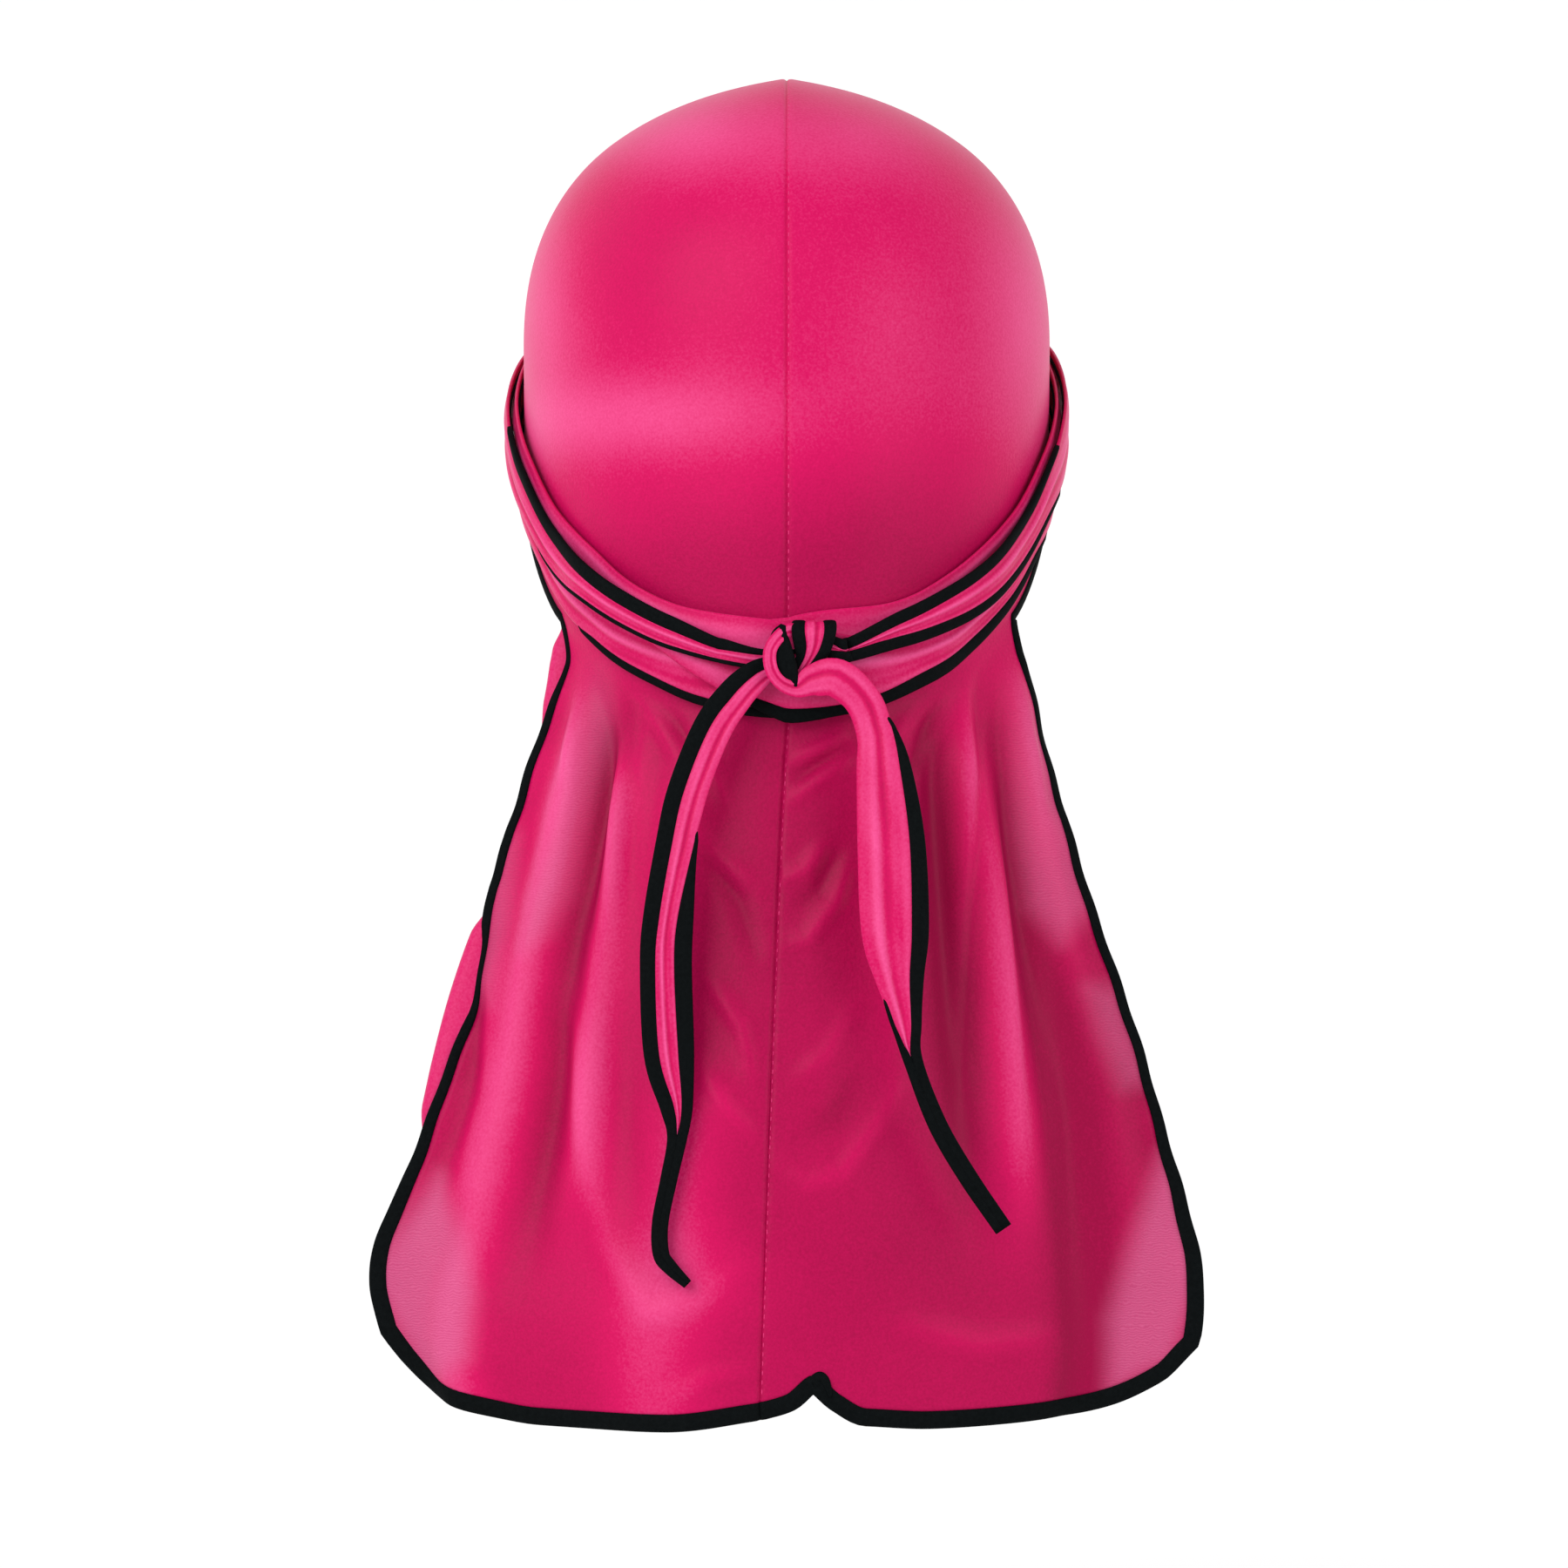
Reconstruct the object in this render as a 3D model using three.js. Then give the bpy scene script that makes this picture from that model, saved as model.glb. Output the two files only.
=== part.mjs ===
import * as THREE from 'three';

// A durag in its worn shape: two seamed panels, two long straps wound round and knotted, bound edges.
// Millimetres, +Z up. The wearer faces +Y, so the seam, the knot and the cape are on the -Y side.
// The origin is the inside of the crown at its top, where the head meets it.

// Cloth and binding
const clothWall = 1.2;
const strapWall = 1.2;
const tapeThickness = 1.9;
const pieceGap = 0.3;

// Crown, worn over a head
const crownHalfWidth = 78.4;
const crownHalfLength = 96.5;
const crownDrop = 75.6;
const crownRoundness = 2.3;
const backFullness = 8;
const seamRidge = 5.2;
const ridgeReach = 50;
const ridgePower = 1.5;
const napeReach = 100;

// Front hem and the rim over the ears, as depths below the dome
const hemDepth = 79.8;
const earDepth = 125.8;
const napeDepth = 189.8;
const capeStart = 62;

// Cape
const capeLength = 200;
const capeHalfWidth = 117;
const capeSideBack = 72;
const capeHang = 16;
const hangBy = 0.87;
const sideSettle = 0.07;
const seamDrift = 7.8;
const driftPower = 0.8;
const bottomBow = 0.9;
const foldDepth = 4.4;
const foldStart = 0.14;
const foldFade = 0.3;
const notchHeight = 9;

// Band that the wound straps make
const bandDepth = 172;
const bandRise = 110;
const bandHeight = 28;
const layerPitch = 2.7;
const strapClearance = 0.9;

// Knot and hanging ends
const knotRadius = 11.5;
const knotOffset = 2.8;
const knotDepth = 170.8;
const knotStrap = 6.4;
const knotTapeShare = 0.3;
const endDrop = 178;
const endWidth = 14.5;
const endStandOff = 7;

// Binding widths
const sideTape = 2.6;
const cornerTape = 4.8;
const strapTape = 2.4;
const endTape = 4.2;
const endTapeShare = 0.42;

// How finely the faceted solids are divided
const capeColumns = 16;
const sideColumns = 13;
const crownRows = 11;
const capeRows = 15;
const turnStep = 9;

const clothColour = 0xd8286f;
const tapeColour = 0x17201f;

const domeTop = clothWall / 2 - seamRidge;
const flatten = 2 / crownRoundness;
const radians = THREE.MathUtils.degToRad;

// Below the widest level the head draws in: share of napeReach below it, share of the full size
const napeTaper = [
  { below: 0.0, share: 1.0 },
  { below: 0.3, share: 0.996 },
  { below: 0.6, share: 0.975 },
  { below: 0.9, share: 0.938 },
  { below: 1.2, share: 0.9 },
];

// The lower edge of the crown: turn from the back, share of the way from the hem to the ear and on to the nape
const rimTable = [
  { turn: 0, fromEar: 1.0, fromHem: 1.0 },
  { turn: 30, fromEar: 0.86, fromHem: 1.0 },
  { turn: 62, fromEar: 0.47, fromHem: 1.0 },
  { turn: 90, fromEar: 0.0, fromHem: 1.0 },
  { turn: 125, fromEar: 0.0, fromHem: 0.42 },
  { turn: 150, fromEar: 0.0, fromHem: 0.1 },
  { turn: 180, fromEar: 0.0, fromHem: 0.0 },
];

// The band climbs from the nape to the forehead: turn from the back, share of bandRise
const bandTable = [
  { turn: 0, rise: 0.0 },
  { turn: 20, rise: 0.035 },
  { turn: 36, rise: 0.114 },
  { turn: 56, rise: 0.28 },
  { turn: 70, rise: 0.445 },
  { turn: 90, rise: 0.63 },
  { turn: 120, rise: 0.84 },
  { turn: 150, rise: 0.95 },
  { turn: 180, rise: 1.0 },
];

// Side edges of the cape: share of the way down, share of the half width on each side
const capeSide = [
  { down: 0.0, left: 0.555, right: 0.56 },
  { down: 0.12, left: 0.585, right: 0.607 },
  { down: 0.21, left: 0.628, right: 0.643 },
  { down: 0.31, left: 0.68, right: 0.697 },
  { down: 0.41, left: 0.738, right: 0.752 },
  { down: 0.5, left: 0.802, right: 0.808 },
  { down: 0.6, left: 0.85, right: 0.865 },
  { down: 0.7, left: 0.888, right: 0.911 },
  { down: 0.8, left: 0.937, right: 0.957 },
  { down: 0.89, left: 0.99, right: 0.992 },
  { down: 0.94, left: 1.0, right: 1.0 },
  { down: 1.0, left: 0.972, right: 0.988 },
];

// Bottom edge of the cape from seam to corner: share of the corner's distance out, share of the length, notch
const capeBottom = {
  left: [
    { across: 0.0, down: 0.968, notch: 0 },
    { across: 0.25, down: 0.985, notch: 0 },
    { across: 0.6, down: 0.982, notch: 0 },
    { across: 0.85, down: 0.95, notch: 0 },
    { across: 0.945, down: 0.908, notch: 0 },
    { across: 1.0, down: 0.868, notch: 0 },
  ],
  right: [
    { across: 0.0, down: 0.968, notch: 0.05 },
    { across: 0.0625, down: 0.97, notch: 0.35 },
    { across: 0.125, down: 0.972, notch: 1 },
    { across: 0.1875, down: 0.974, notch: 0.4 },
    { across: 0.25, down: 0.976, notch: 0 },
    { across: 0.4, down: 0.982, notch: 0 },
    { across: 0.75, down: 0.97, notch: 0 },
    { across: 0.93, down: 0.928, notch: 0 },
    { across: 1.0, down: 0.885, notch: 0 },
  ],
};

// Folds of the cape: place across the panel at the top and the bottom, width, depth, and their span down it
const capeFolds = {
  left: [
    { top: 0.42, bottom: 0.3, wide: 0.08, deep: 0.6, from: 0.02, to: 0.55 },
    { top: 0.6, bottom: 0.52, wide: 0.08, deep: 1.0, from: 0.02, to: 0.8 },
    { top: 0.72, bottom: 0.66, wide: 0.07, deep: -0.9, from: 0.0, to: 0.9 },
    { top: 0.84, bottom: 0.8, wide: 0.07, deep: 1.0, from: 0.02, to: 1.0 },
    { top: 0.2, bottom: 0.28, wide: 0.14, deep: 0.8, from: 0.45, to: 1.0 },
  ],
  right: [
    { top: 0.4, bottom: 0.3, wide: 0.08, deep: 0.7, from: 0.02, to: 0.6 },
    { top: 0.58, bottom: 0.5, wide: 0.07, deep: -0.8, from: 0.0, to: 0.8 },
    { top: 0.7, bottom: 0.6, wide: 0.07, deep: 1.0, from: 0.02, to: 0.9 },
    { top: 0.84, bottom: 0.76, wide: 0.07, deep: -0.8, from: 0.0, to: 1.0 },
    { top: 0.93, bottom: 0.9, wide: 0.06, deep: 0.8, from: 0.02, to: 0.9 },
  ],
};

// Each strap is wound from its temple: turn, place and height as shares of bandHeight, layer from the crown out
const leftWinding = [
  { turn: -133, place: 0.27, tall: 0.5, layer: 1 },
  { turn: -100, place: 0.25, tall: 0.48, layer: 1 },
  { turn: -62, place: 0.26, tall: 0.46, layer: 1 },
  { turn: -46, place: 0.3, tall: 0.46, layer: 1 },
  { turn: -32, place: 0.25, tall: 0.5, layer: 2 },
  { turn: 0, place: -0.04, tall: 1.04, layer: 2 },
  { turn: 32, place: -0.25, tall: 0.5, layer: 2 },
  { turn: 46, place: -0.3, tall: 0.46, layer: 1 },
  { turn: 100, place: -0.26, tall: 0.46, layer: 1 },
  { turn: 138, place: -0.26, tall: 0.46, layer: 1 },
  { turn: 152, place: -0.24, tall: 0.44, layer: 2 },
  { turn: 180, place: 0.0, tall: 0.5, layer: 2 },
  { turn: 208, place: 0.24, tall: 0.44, layer: 2 },
  { turn: 232, place: 0.2, tall: 0.5, layer: 2 },
  { turn: 270, place: 0.16, tall: 0.52, layer: 2 },
  { turn: 300, place: 0.14, tall: 0.52, layer: 2 },
  { turn: 316, place: 0.2, tall: 0.44, layer: 3 },
  { turn: 336, place: 0.22, tall: 0.34, layer: 3 },
];
const rightWinding = [
  { turn: -133, place: 0.27, tall: 0.5, layer: 1 },
  { turn: -100, place: 0.26, tall: 0.47, layer: 1 },
  { turn: -46, place: 0.3, tall: 0.46, layer: 1 },
  { turn: -32, place: 0.25, tall: 0.5, layer: 1 },
  { turn: 0, place: 0.0, tall: 1.04, layer: 1 },
  { turn: 32, place: -0.25, tall: 0.5, layer: 1 },
  { turn: 46, place: -0.3, tall: 0.46, layer: 1 },
  { turn: 100, place: -0.26, tall: 0.46, layer: 1 },
  { turn: 152, place: -0.24, tall: 0.44, layer: 1 },
  { turn: 180, place: 0.0, tall: 0.5, layer: 1 },
  { turn: 206, place: 0.25, tall: 0.42, layer: 1 },
  { turn: 220, place: 0.25, tall: 0.48, layer: 2 },
  { turn: 250, place: 0.24, tall: 0.6, layer: 2 },
  { turn: 280, place: 0.18, tall: 0.62, layer: 2 },
  { turn: 300, place: 0.14, tall: 0.58, layer: 2 },
  { turn: 316, place: 0.22, tall: 0.5, layer: 3 },
  { turn: 336, place: 0.26, tall: 0.38, layer: 3.2 },
];

// Route through the knot, as if the strap came from the left: places as shares of knotRadius, layer from the
// crown out, and how far the strap has turned over
const leftKnot = [
  { across: -1.3, up: 0.12, layer: 3, over: 0 },
  { across: -0.45, up: 0.05, layer: 3, over: 0 },
  { across: 0.15, up: 0.1, layer: 3, over: 0 },
  { across: 0.42, up: 0.5, layer: 3, over: 0 },
  { across: 0.44, up: 1.0, layer: 3.1, over: 20 },
  { across: 0.44, up: 1.24, layer: 4.1, over: 90 },
  { across: 0.42, up: 0.98, layer: 5.1, over: 160 },
  { across: 0.38, up: 0.5, layer: 5.35, over: 180 },
  { across: 0.2, up: 0.02, layer: 4.75, over: 180 },
  { across: -0.2, up: -0.22, layer: 4.05, over: 180 },
  { across: -0.65, up: -0.28, layer: 4, over: 180 },
  { across: -1.15, up: -0.36, layer: 4, over: 180 },
];
const rightKnot = [
  { across: -1.15, up: 0.25, layer: 3.9, over: 0 },
  { across: -0.78, up: 0.42, layer: 4.15, over: 0 },
  { across: -0.35, up: 0.66, layer: 4.3, over: 0 },
  { across: 0.15, up: 0.74, layer: 4.5, over: 0 },
  { across: 0.58, up: 0.45, layer: 5, over: 0 },
  { across: 0.74, up: 0.0, layer: 5, over: 0 },
  { across: 0.58, up: -0.48, layer: 5, over: 0 },
  { across: 0.15, up: -0.8, layer: 5, over: 0 },
  { across: -0.35, up: -0.85, layer: 4.7, over: 0 },
  { across: -0.85, up: -0.72, layer: 4.4, over: 0 },
];

// Hanging ends: share of endDrop below the knot and to the outside of it, width as a share of endWidth
const leftEnd = [
  { down: 0.05, side: -0.1, wide: 0.62, out: 0.0 },
  { down: 0.11, side: -0.13, wide: 0.8, out: 0.2 },
  { down: 0.21, side: -0.167, wide: 0.84, out: 0.5 },
  { down: 0.295, side: -0.186, wide: 0.86, out: 0.7 },
  { down: 0.41, side: -0.206, wide: 1.0, out: 0.9 },
  { down: 0.49, side: -0.21, wide: 1.03, out: 1.0 },
  { down: 0.63, side: -0.205, wide: 1.03, out: 1.0 },
  { down: 0.715, side: -0.193, wide: 0.7, out: 1.0 },
  { down: 0.775, side: -0.194, wide: 0.38, out: 1.0 },
  { down: 0.83, side: -0.208, wide: 0.33, out: 1.0 },
  { down: 0.9, side: -0.219, wide: 0.33, out: 1.0 },
  { down: 0.965, side: -0.215, wide: 0.33, out: 1.0 },
  { down: 1.0, side: -0.173, wide: 0.26, out: 1.0 },
];
const rightEnd = [
  { down: 0.06, side: -0.1, wide: 0.8, out: 0.1 },
  { down: 0.12, side: -0.131, wide: 0.9, out: 0.3 },
  { down: 0.18, side: -0.138, wide: 1.06, out: 0.5 },
  { down: 0.29, side: -0.142, wide: 1.4, out: 0.8 },
  { down: 0.43, side: -0.153, wide: 1.42, out: 1.0 },
  { down: 0.53, side: -0.162, wide: 0.95, out: 1.0 },
  { down: 0.63, side: -0.184, wide: 0.42, out: 1.0 },
  { down: 0.74, side: -0.225, wide: 0.38, out: 1.0 },
  { down: 0.825, side: -0.274, wide: 0.38, out: 1.0 },
  { down: 0.91, side: -0.332, wide: 0.36, out: 1.0 },
];

// A smooth curve through the rows of a table that never overshoots them
function readTable(rows, key, column, at) {
  const last = rows.length - 1;
  if (at <= rows[0][key]) return rows[0][column];
  if (at >= rows[last][key]) return rows[last][column];
  let i = 0;
  while (rows[i + 1][key] < at) i += 1;
  const slope = (j) => (rows[j + 1][column] - rows[j][column]) / (rows[j + 1][key] - rows[j][key]);
  const tangent = (j) => {
    if (j === 0) return slope(0);
    if (j === last) return slope(last - 1);
    const before = slope(j - 1);
    const after = slope(j);
    return before * after <= 0 ? 0 : (2 * before * after) / (before + after);
  };
  const span = rows[i + 1][key] - rows[i][key];
  const t = (at - rows[i][key]) / span;
  const rest = 1 - t;
  return rows[i][column] * rest * rest * (1 + 2 * t)
    + rows[i + 1][column] * t * t * (3 - 2 * t)
    + tangent(i) * span * t * rest * rest
    - tangent(i + 1) * span * t * t * rest;
}

// How wide the head is at a depth below the dome's top, as a share of its full size
function headShare(depth) {
  if (depth >= crownDrop) return readTable(napeTaper, 'below', 'share', (depth - crownDrop) / napeReach);
  const height = 1 - Math.max(depth, 0) / crownDrop;
  return (1 - height ** crownRoundness) ** (1 / crownRoundness);
}

// A point of the crown's cloth at a turn from the back, in degrees, and a depth below the dome's top
function headPoint(turn, depth) {
  const share = headShare(depth);
  const angle = radians(turn);
  const x = crownHalfWidth * share * Math.sin(angle);
  const y = -share * (crownHalfLength * Math.cos(angle) + backFullness * Math.sin(angle) ** 2);
  const height = Math.max(0, 1 - depth / crownDrop);
  const ridge = seamRidge * height * Math.max(0, 1 - Math.abs(x) / ridgeReach) ** ridgePower;
  return new THREE.Vector3(x, y, domeTop - depth + ridge);
}

// The outward direction of the crown's cloth
function headNormal(turn, depth) {
  const along = headPoint(turn + 1, depth).sub(headPoint(turn - 1, depth));
  const down = headPoint(turn, depth + 1).sub(headPoint(turn, depth - 1));
  return down.cross(along).normalize();
}

function rimDepth(turn) {
  const side = Math.abs(turn);
  return hemDepth
    + (earDepth - hemDepth) * readTable(rimTable, 'turn', 'fromHem', side)
    + (napeDepth - earDepth) * readTable(rimTable, 'turn', 'fromEar', side);
}

// Depth of a crown row: the dome by angle up to its widest level, then straight down
function rowDepth(row) {
  if (row <= 1) return crownDrop * (1 - Math.cos(row * Math.PI / 2) ** flatten);
  return crownDrop + (row - 1) * napeReach;
}

// The cape hangs from the nape: its seam, its side edge, its bottom edge, and the top that the crown gives it
function capeOutline(side, name) {
  const seamTop = headPoint(0, rimDepth(0));
  const sideTop = headPoint(capeStart, rimDepth(capeStart));
  const bottomRows = capeBottom[name];
  const cornerZ = seamTop.z - capeLength * bottomRows[bottomRows.length - 1].down;
  const edge = (down) => {
    const settle = Math.min(1, down / sideSettle);
    const out = capeHalfWidth * readTable(capeSide, 'down', name, down);
    return new THREE.Vector3(
      side * (sideTop.x + (out - sideTop.x) * settle),
      sideTop.y + (-capeSideBack - sideTop.y) * Math.sin(down * Math.PI / 2),
      sideTop.z + (cornerZ - sideTop.z) * down,
    );
  };
  const seam = (down) => new THREE.Vector3(
    -seamDrift * Math.max(0, down) ** driftPower,
    seamTop.y - capeHang * Math.sin(Math.min(1, down / hangBy) * Math.PI / 2),
    seamTop.z - capeLength * down * bottomRows[0].down,
  );
  const bottom = (across) => {
    const start = seam(1);
    const end = edge(1);
    const forward = 1 - Math.sqrt(1 - bottomBow * Math.sin(across * Math.PI / 2) ** 2);
    return new THREE.Vector3(
      start.x + (end.x - start.x) * across,
      start.y + (end.y - start.y) * forward / (1 - Math.sqrt(1 - bottomBow)),
      seamTop.z - capeLength * readTable(bottomRows, 'across', 'down', across)
        + notchHeight * readTable(bottomRows, 'across', 'notch', across),
    );
  };
  const top = (across) => headPoint(side * capeStart * across, rimDepth(capeStart * across));
  return { edge, seam, bottom, top };
}

// A point of the cape: the four edges blended, then the folds stood out from them
function capePoint(outline, side, name, across, down) {
  const { edge, seam, bottom, top } = outline;
  const point = new THREE.Vector3();
  point.addScaledVector(top(across), 1 - down);
  point.addScaledVector(bottom(across), down);
  point.addScaledVector(seam(down), 1 - across);
  point.addScaledVector(edge(down), across);
  point.addScaledVector(top(0), -(1 - across) * (1 - down));
  point.addScaledVector(top(1), -across * (1 - down));
  point.addScaledVector(bottom(0), -(1 - across) * down);
  point.addScaledVector(bottom(1), -across * down);
  const turn = radians(capeStart * across);
  let lift = 0;
  for (const fold of capeFolds[name]) {
    const middle = fold.top + (fold.bottom - fold.top) * down;
    const start = THREE.MathUtils.smoothstep(down, fold.from, fold.from + foldStart);
    const fade = fold.to < 1 ? 1 - THREE.MathUtils.smoothstep(down, fold.to - foldFade, fold.to) : 1;
    lift += fold.deep * start * fade * Math.exp(-(((across - middle) / fold.wide) ** 2));
  }
  point.x += side * Math.sin(turn) * lift * foldDepth;
  point.y -= Math.cos(turn) * lift * foldDepth;
  return point;
}

// A closed solid from a mesh that lies in the middle of the cloth
function thicken(points, faces, wall) {
  const normals = points.map(() => new THREE.Vector3());
  for (const [a, b, c] of faces) {
    const first = points[b].clone().sub(points[a]);
    const second = points[c].clone().sub(points[a]);
    const normal = first.cross(second);
    for (const corner of [a, b, c]) normals[corner].add(normal);
  }
  normals.forEach((normal) => normal.normalize());
  const outer = points.map((point, i) => point.clone().addScaledVector(normals[i], wall / 2));
  const inner = points.map((point, i) => point.clone().addScaledVector(normals[i], -wall / 2));
  const count = points.length;
  const triangles = [];
  const open = new Map();
  for (const [a, b, c] of faces) {
    triangles.push([a, b, c], [count + a, count + c, count + b]);
    for (const [from, to] of [[a, b], [b, c], [c, a]]) {
      if (open.has(`${to},${from}`)) open.delete(`${to},${from}`);
      else open.set(`${from},${to}`, [from, to]);
    }
  }
  for (const [from, to] of open.values()) {
    triangles.push([from, count + from, count + to], [from, count + to, to]);
  }
  return { solid: toSolid(outer.concat(inner), triangles), normals };
}

// A geometry with its faces pointing out
function toSolid(points, triangles) {
  let volume = 0;
  for (const [a, b, c] of triangles) {
    volume += points[a].dot(points[b].clone().cross(points[c]));
  }
  const index = triangles.flatMap(([a, b, c]) => (volume > 0 ? [a, b, c] : [a, c, b]));
  const geometry = new THREE.BufferGeometry();
  geometry.setAttribute('position', new THREE.Float32BufferAttribute(points.flatMap((p) => p.toArray()), 3));
  geometry.setIndex(index);
  geometry.computeVertexNormals();
  return geometry;
}

// One panel: columns from the seam at the back round to the seam at the front, rows from the crown's top down
function buildPanel(side, name) {
  const turns = [];
  for (let i = 0; i <= capeColumns; i += 1) turns.push(capeStart * i / capeColumns);
  for (let i = 1; i <= sideColumns; i += 1) turns.push(capeStart + (180 - capeStart) * i / sideColumns);
  const points = [new THREE.Vector3(side * pieceGap / 2, 0, domeTop + seamRidge)];
  const gapAt = (turn) => side * pieceGap / 2 * Math.abs(Math.cos(radians(turn)));
  const columns = turns.map(() => [0]);
  turns.forEach((turn, column) => {
    const lowest = 1 + (rimDepth(turn) - crownDrop) / napeReach;
    for (let row = 1; row <= crownRows; row += 1) {
      const point = headPoint(side * turn, rowDepth(lowest * row / crownRows));
      point.x += gapAt(turn);
      columns[column].push(points.push(point) - 1);
    }
  });
  const outline = capeOutline(side, name);
  for (let column = 0; column <= capeColumns; column += 1) {
    for (let row = 1; row <= capeRows; row += 1) {
      const across = column / capeColumns;
      const point = capePoint(outline, side, name, across, row / capeRows);
      point.x += side * pieceGap / 2;
      columns[column].push(points.push(point) - 1);
    }
  }
  const faces = [];
  const quad = (a, b, c, d) => {
    const list = side > 0 ? [[a, b, c], [a, c, d]] : [[a, c, b], [a, d, c]];
    faces.push(...list.filter(([p, q, r]) => p !== q && q !== r && r !== p));
  };
  for (let column = 0; column < turns.length - 1; column += 1) {
    const rows = Math.min(columns[column].length, columns[column + 1].length) - 1;
    for (let row = 0; row < rows; row += 1) {
      const here = columns[column];
      const next = columns[column + 1];
      quad(here[row], here[row + 1], next[row + 1], next[row]);
    }
  }
  const { solid, normals } = thicken(points, faces, clothWall);
  // The edge that the binding follows: from the seam's front along the rim, down the cape and back to the seam
  const border = [];
  const addBorder = (point, inside, width) => {
    border.push({ point: points[point], inside: points[inside], normal: normals[point], width });
  };
  for (let column = turns.length - 1; column > capeColumns; column -= 1) {
    const list = columns[column];
    addBorder(list[list.length - 1], list[list.length - 2], sideTape);
  }
  for (let row = crownRows; row < crownRows + capeRows; row += 1) {
    const growth = THREE.MathUtils.smoothstep(row, crownRows + capeRows * 0.6, crownRows + capeRows);
    const width = sideTape + (cornerTape - sideTape) * growth;
    addBorder(columns[capeColumns][row], columns[capeColumns - 1][row], width);
  }
  const bottomRow = crownRows + capeRows;
  addBorder(columns[capeColumns][bottomRow], columns[capeColumns - 1][bottomRow - 1], cornerTape);
  for (let column = capeColumns - 1; column >= 0; column -= 1) {
    addBorder(columns[column][bottomRow], columns[column][bottomRow - 1], cornerTape);
  }
  return { solid, border };
}

// A strip swept through stations, each with its middle, the direction across it and the one out of its face
function sweepStrip(stations, fromShare, toShare, wall, swell = 0) {
  const points = [];
  const triangles = [];
  const ring = 6;
  stations.forEach((station) => {
    const [low, high] = [fromShare(station), toShare(station)];
    const corners = [
      [low, -1, 0], [(low + high) / 2, -1, 0], [high, -1, 0],
      [high, 1, 0], [(low + high) / 2, 1, swell], [low, 1, 0],
    ];
    for (const [place, face, extra] of corners) {
      points.push(station.middle.clone()
        .addScaledVector(station.across, place)
        .addScaledVector(station.normal, face * wall / 2 + extra));
    }
  });
  for (let i = 0; i < stations.length - 1; i += 1) {
    for (let k = 0; k < ring; k += 1) {
      const a = i * ring + k;
      const b = i * ring + (k + 1) % ring;
      triangles.push([a, b, b + ring], [a, b + ring, a + ring]);
    }
  }
  const end = (stations.length - 1) * ring;
  for (let k = 1; k < ring - 1; k += 1) {
    triangles.push([0, k + 1, k], [end, end + k, end + k + 1]);
  }
  return toSolid(points, triangles);
}

// A thinner tape with a plain four-sided section
function sweepTape(stations, fromShare, toShare, wall) {
  const points = [];
  const triangles = [];
  stations.forEach((station) => {
    const [low, high] = [fromShare(station), toShare(station)];
    for (const [place, face] of [[low, -1], [high, -1], [high, 1], [low, 1]]) {
      points.push(station.middle.clone()
        .addScaledVector(station.across, place)
        .addScaledVector(station.normal, face * wall / 2));
    }
  });
  for (let i = 0; i < stations.length - 1; i += 1) {
    for (let k = 0; k < 4; k += 1) {
      const a = i * 4 + k;
      const b = i * 4 + (k + 1) % 4;
      triangles.push([a, b, b + 4], [a, b + 4, a + 4]);
    }
  }
  const end = (stations.length - 1) * 4;
  triangles.push([0, 2, 1], [0, 3, 2], [end, end + 1, end + 2], [end, end + 2, end + 3]);
  return toSolid(points, triangles);
}

const layerOut = (layer) => clothWall / 2 + strapClearance + tapeThickness / 2 + (layer - 1) * layerPitch;

// Stations of a strap as if it were the left one: wound round the head, through the knot, then hanging
function strapStations(winding, knot, end, centre) {
  const stations = [];
  const first = winding[0].turn;
  const last = winding[winding.length - 1].turn;
  const steps = Math.ceil((last - first) / turnStep);
  for (let i = 0; i <= steps; i += 1) {
    const turn = first + (last - first) * i / steps;
    const around = Math.abs(((turn + 180) % 360 + 360) % 360 - 180);
    const place = readTable(winding, 'turn', 'place', turn) * bandHeight;
    const tall = readTable(winding, 'turn', 'tall', turn) * bandHeight;
    const layer = readTable(winding, 'turn', 'layer', turn);
    const depth = bandDepth - bandRise * readTable(bandTable, 'turn', 'rise', around) - place;
    const normal = headNormal(turn, depth);
    const middle = headPoint(turn, depth).addScaledVector(normal, layerOut(layer));
    const low = headPoint(turn, depth + tall / 2);
    const across = headPoint(turn, depth - tall / 2).sub(low).normalize();
    stations.push({ middle, across, normal, width: tall, tape: strapTape });
  }
  const backY = headPoint(0, knotDepth).y;
  const rows = [];
  for (const row of knot) {
    const middle = new THREE.Vector3(
      centre + row.across * knotRadius,
      backY - layerOut(row.layer),
      domeTop - knotDepth + row.up * knotRadius,
    );
    rows.push({ middle, over: row.over, width: knotStrap, tape: knotStrap * knotTapeShare });
  }
  const leave = backY - layerOut(knot[knot.length - 1].layer);
  const over = knot[knot.length - 1].over;
  for (const row of end) {
    const middle = new THREE.Vector3(
      centre + row.side * endDrop,
      leave - row.out * endStandOff,
      domeTop - knotDepth - row.down * endDrop,
    );
    const width = row.wide * endWidth;
    rows.push({ middle, over, width, tape: Math.min(endTape, width * endTapeShare) });
  }
  const path = [stations[stations.length - 1].middle, ...rows.map((row) => row.middle)];
  rows.forEach((row, i) => {
    const next = path[Math.min(i + 2, path.length - 1)];
    const tangent = next.clone().sub(path[i]).normalize();
    const angle = radians(row.over);
    const face = new THREE.Vector3(0, -Math.cos(angle), -Math.sin(angle));
    const across = face.clone().cross(tangent).normalize();
    const normal = tangent.clone().cross(across).normalize();
    stations.push({ middle: row.middle, across, normal, width: row.width, tape: row.tape });
  });
  return stations;
}

function mirror(stations) {
  const flip = (vector) => new THREE.Vector3(-vector.x, vector.y, vector.z);
  return stations.map((station) => ({
    ...station,
    middle: flip(station.middle),
    across: flip(station.across),
    normal: flip(station.normal),
  }));
}

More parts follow.
